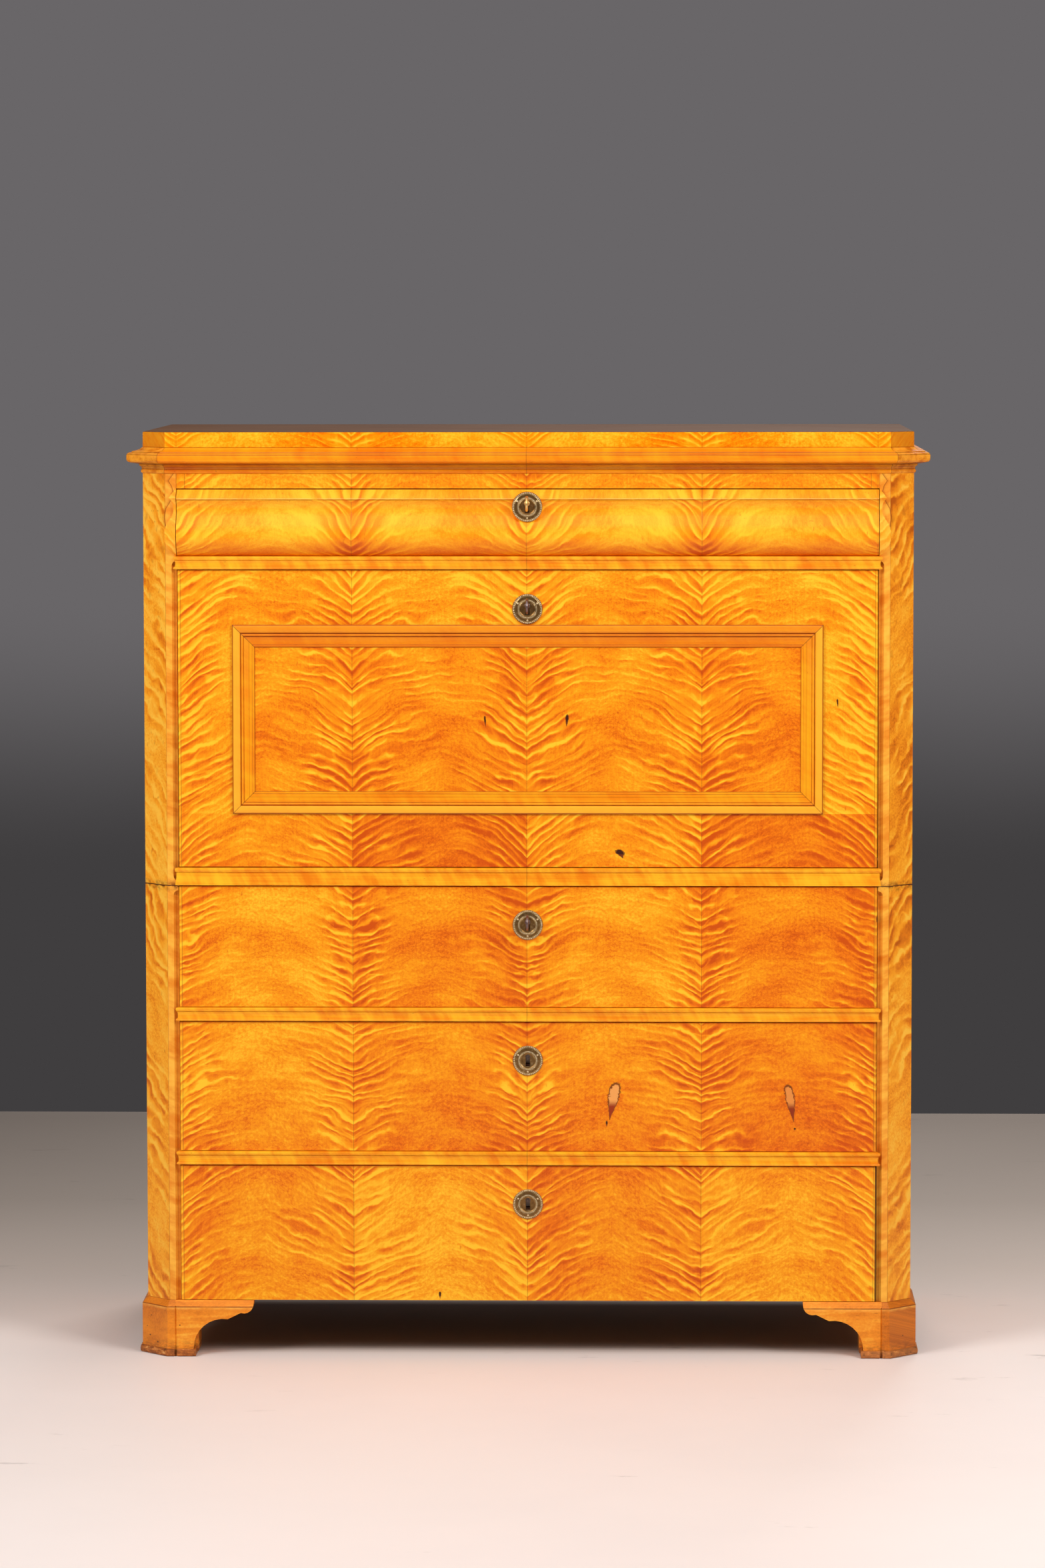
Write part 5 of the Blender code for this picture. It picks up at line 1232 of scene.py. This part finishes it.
class KeysOperator(bpy.types.Operator):
    """Models a key with an oval bow, a collared shank and a notched bit for three locks"""
    bl_idname = "secretaire.keys"
    bl_label = "Keys"

    def execute(self, context):
        low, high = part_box("top_key")
        x, z = (low.x + high.x) / 2, high.z - BOW_HEIGHT / 2
        shank_front = low.y + BOW_LENGTH - BOW_WIRE
        shank = cylinder("shank", SHANK_RADIUS, high.y - shank_front, Vector((x, high.y, z)), 32)
        front_cap(shank)
        for reach, scale in ((0.0006, 0.8), (0.0006, 0.9)):
            bpy.ops.mesh.extrude_region_move(TRANSFORM_OT_translate={"value": (0, -reach, 0)})
            bpy.ops.transform.resize(value=(scale, 1, scale), center_override=(x, 0, z))
        bpy.ops.object.mode_set(mode="OBJECT")
        collars = []
        for place, radius, depth in COLLARS:
            collar = cylinder("collar", radius, depth,
                              Vector((x, shank_front + place + depth, z)), 32)
            ease_edges(collar, depth * 0.4, 3, 50)
            collars.append(collar)
        ring = BOW_LENGTH / 2 - BOW_WIRE
        bow = blank(bpy.ops.mesh.primitive_torus_add, "bow",
                    ((BOW_HEIGHT / 2 - BOW_WIRE) / ring, 1, 1.15), major_radius=ring,
                    minor_radius=BOW_WIRE, major_segments=56, minor_segments=16,
                    location=(x, low.y + BOW_LENGTH / 2, z), rotation=(0, pi / 2, 0))
        bit = blank(bpy.ops.mesh.primitive_cube_add, "bit", KEY_BIT, size=1,
                    location=(x, high.y - BIT_INSET, z - BIT_DROP))
        bpy.ops.object.mode_set(mode="EDIT")
        for cut in NOTCH:
            bpy.ops.mesh.select_all(action="SELECT")
            bpy.ops.mesh.bisect(plane_co=(x, high.y - cut, z), plane_no=(0, 1, 0))
        select_faces(bit, lambda face: face.normal.z < -0.9
                     and NOTCH[0] < high.y - face.calc_center_median().y < NOTCH[1])
        bpy.ops.mesh.extrude_region_move(TRANSFORM_OT_translate={"value": (0, 0, NOTCH_DEPTH)})
        bpy.ops.object.mode_set(mode="OBJECT")
        pattern = joined("key_pattern", *collars, bow, bit, shank)
        smooth(pattern, radians(40))
        for name, finish in (("frieze", "bright_brass"), ("fall", "key_steel"),
                             ("top", "key_steel")):
            piece = copy_of(pattern.data, name + "_key_turned")
            piece.data.transform(Matrix.Translation(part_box(name + "_key")[0] - low))
            dress(piece, finish)
            stand_in(piece, name + "_key")
        bpy.data.objects.remove(pattern)
        return {"FINISHED"}


class LocksOperator(bpy.types.Operator):
    """Finishes the locks and their bolts"""
    bl_idname = "secretaire.locks"
    bl_label = "Locks and Bolts"

    def execute(self, context):
        finish_all("moulding_edge", lock_steel=" ".join(name + "_lock" for name in LOCKED),
                   key_steel="frieze_bolt fall_bolt top_bolt")
        return {"FINISHED"}


class StageOperator(bpy.types.Operator):
    """Lays the floor, hangs the backdrop, sets the lamps and places the camera"""
    bl_idname = "secretaire.stage"
    bl_label = "Stage"

    def execute(self, context):
        stage = settings("stage")
        self.floor()
        self.backdrop(stage)
        self.lamps(stage)
        self.surround(stage)
        self.camera(context, stage)
        return {"FINISHED"}

    def floor(self):
        """A pale floor with a painted falloff, darker towards the back and lighter to the right
        there, with scuffs and a painted shadow under the cabinet.
        """
        floor = blank(bpy.ops.mesh.primitive_grid_add, "studio_floor", x_subdivisions=8,
                      y_subdivisions=8, size=24, location=(0, 0, -0.0005))
        point, x, y, _ = begin("studio_floor")
        painted_falloff = y.ramp([(place, paint(*tone)) for place, tone in FLOOR_PAINTED_FALLOFF])
        cloud = noise(point, 4, 0.6, 1.3)
        marks = noise((x * 5.0, y * 16.0, 0.0), 5, 0.68)
        field = noise(point, scale=1.9)
        # Painted light: the back of the floor is lighter to the right.
        painted_light_rightward = x.ease(-1.3, 1.3, -0.16, 0.16) * y.ease(-0.6, 0.5) + 1.0
        colour = painted_falloff.toward((painted_light_rightward, painted_light_rightward, painted_light_rightward), 1.0, "MULTIPLY")
        colour = colour.toward(paint(150, 140, 138), cloud.ease(0.3, 0.7, 0.0, 0.05))
        colour = colour.toward(paint(92, 84, 80), marks.ease(0.625, 0.70)
                               * field.ease(0.46, 0.62) * 0.34)
        # Painted shadow: the floor is darkened under the cabinet.
        painted_shadow_under_case = x.near(0, 0.47, 0.07) * y.near(0.03, 0.17, 0.08) * 0.8
        close(colour.toward(paint(88, 66, 52), painted_shadow_under_case), cloud * 0.12 + 0.5, cloud,
              depth=0.0005, shine=BARE)
        floor.data.materials.append(Work.material)

    def backdrop(self, stage):
        """A grey cloth that glows, seen from the front only and lit by nothing; a painted falloff
        darkens it towards the floor.
        """
        wall = blank(bpy.ops.mesh.primitive_plane_add, "studio_backdrop", (16, 6, 1), size=1,
                     location=(0, BACKDROP, 3), rotation=(pi / 2, 0, 0))
        point, _, _, z = begin("studio_backdrop")
        # Painted falloff: the backdrop's glow darkens towards the floor.
        height = z + (noise(point, scale=0.9) - 0.5) * 0.12
        colour = blend(height.ease(0.47, 1.0), stage.backdrop_foot, stage.backdrop)
        pick = make("MixShader", (make("NewGeometry", output="Backfacing"),
                                  make("Emission", (colour, 1.0)),
                                  make("BsdfTransparent")))
        put("OutputMaterial", (pick,))
        wall.data.materials.append(Work.material)
        wall.visible_diffuse = False
        wall.visible_shadow = False

    def lamps(self, stage):
        for name, power, size, place, aim in (
                ("lamp_right", stage.front_lamps, 1.5, (2.45, -2.7, 2.75), (0.1, 0, 0.5)),
                ("lamp_left", stage.front_lamps, 1.5, (-2.45, -2.7, 2.75), (-0.1, 0, 0.5)),
                ("lamp_top", stage.top_lamp, 2.4, (0, -1.2, 3.4), (0, -0.2, 0.6)),
                ("lamp_rear", stage.rear_lamp, 1.4, (0.6, 3.1, 3.5), (0, 0.6, 0.3))):
            lamp = bpy.data.lights.new(name, "AREA")
            lamp.shape = "SQUARE"
            lamp.size = size
            lamp.energy = power
            lamp.color = (1.0, 0.97, 0.93)
            holder = bpy.data.objects.new(name, lamp)
            bpy.context.scene.collection.objects.link(holder)
            holder.location = place
            holder.rotation_euler = (Vector(aim) - Vector(place)).to_track_quat(
                "-Z", "Y").to_euler()

    def surround(self, stage):
        """Soft light from all sides, and the backdrop's grey wherever it is looked at."""
        world = bpy.data.worlds.new("studio_surround")
        world.use_nodes = True
        world.node_tree.nodes.clear()
        Work.tree = world.node_tree
        rays = put("LightPath").outputs
        camera, glossy, through = (Value(rays[f"Is {kind} Ray"])
                                   for kind in ("Camera", "Glossy", "Transmission"))
        pick = make("MixShader", (
            camera + glossy + through,
            make("Background", ((1.0, 0.98, 0.96), stage.surround)),
            make("Background", (stage.backdrop, 1.0))))
        put("OutputWorld", (pick,))
        bpy.context.scene.world = world

    def camera(self, context, stage):
        lens = bpy.data.cameras.new("photo_camera")
        lens.sensor_fit = "AUTO"
        lens.sensor_width = 36
        lens.lens = stage.lens
        holder = bpy.data.objects.new("photo_camera", lens)
        context.scene.collection.objects.link(holder)
        right, ahead = Vector(CAMERA_RIGHT).normalized(), Vector(CAMERA_AHEAD).normalized()
        turn = Matrix((right, right.cross(ahead), -ahead)).transposed().to_4x4()
        holder.matrix_world = Matrix.Translation(CAMERA_PLACE) @ turn
        context.scene.camera = holder
        context.scene.view_settings.view_transform = "Standard"


OPERATORS = (FinishesOperator, CaseOperator, MouldingOperator, FeetOperator, DrawersOperator,
             FallOperator, FittingOperator, EscutcheonsOperator, KeysOperator, LocksOperator,
             StageOperator)


class SecretairePanel(bpy.types.Panel):
    """Lists the settings and the steps that finish the cabinet"""
    bl_idname = "VIEW3D_PT_secretaire"
    bl_label = "Secretaire"
    bl_space_type = "VIEW_3D"
    bl_region_type = "UI"
    bl_category = "Secretaire"

    def draw(self, context):
        for name, kind in SETTINGS.items():
            box = self.layout.box()
            box.label(text=kind.__doc__)
            for setting in kind.__annotations__:
                box.prop(settings(name), setting)
        for operator in OPERATORS:
            self.layout.operator(operator.bl_idname)


def register():
    for name, kind in SETTINGS.items():
        bpy.utils.register_class(kind)
        setattr(bpy.types.Scene, "secretaire_" + name, PointerProperty(type=kind))
    for part in (*OPERATORS, SecretairePanel):
        bpy.utils.register_class(part)


def unregister():
    for part in reversed((*OPERATORS, SecretairePanel)):
        bpy.utils.unregister_class(part)
    for name, kind in reversed(SETTINGS.items()):
        delattr(bpy.types.Scene, "secretaire_" + name)
        bpy.utils.unregister_class(kind)


def main():
    """Finishes the whole cabinet."""
    register()
    for operator in OPERATORS:
        family, step = operator.bl_idname.split(".")
        getattr(getattr(bpy.ops, family), step)()


if __name__ == "__main__":
    main()
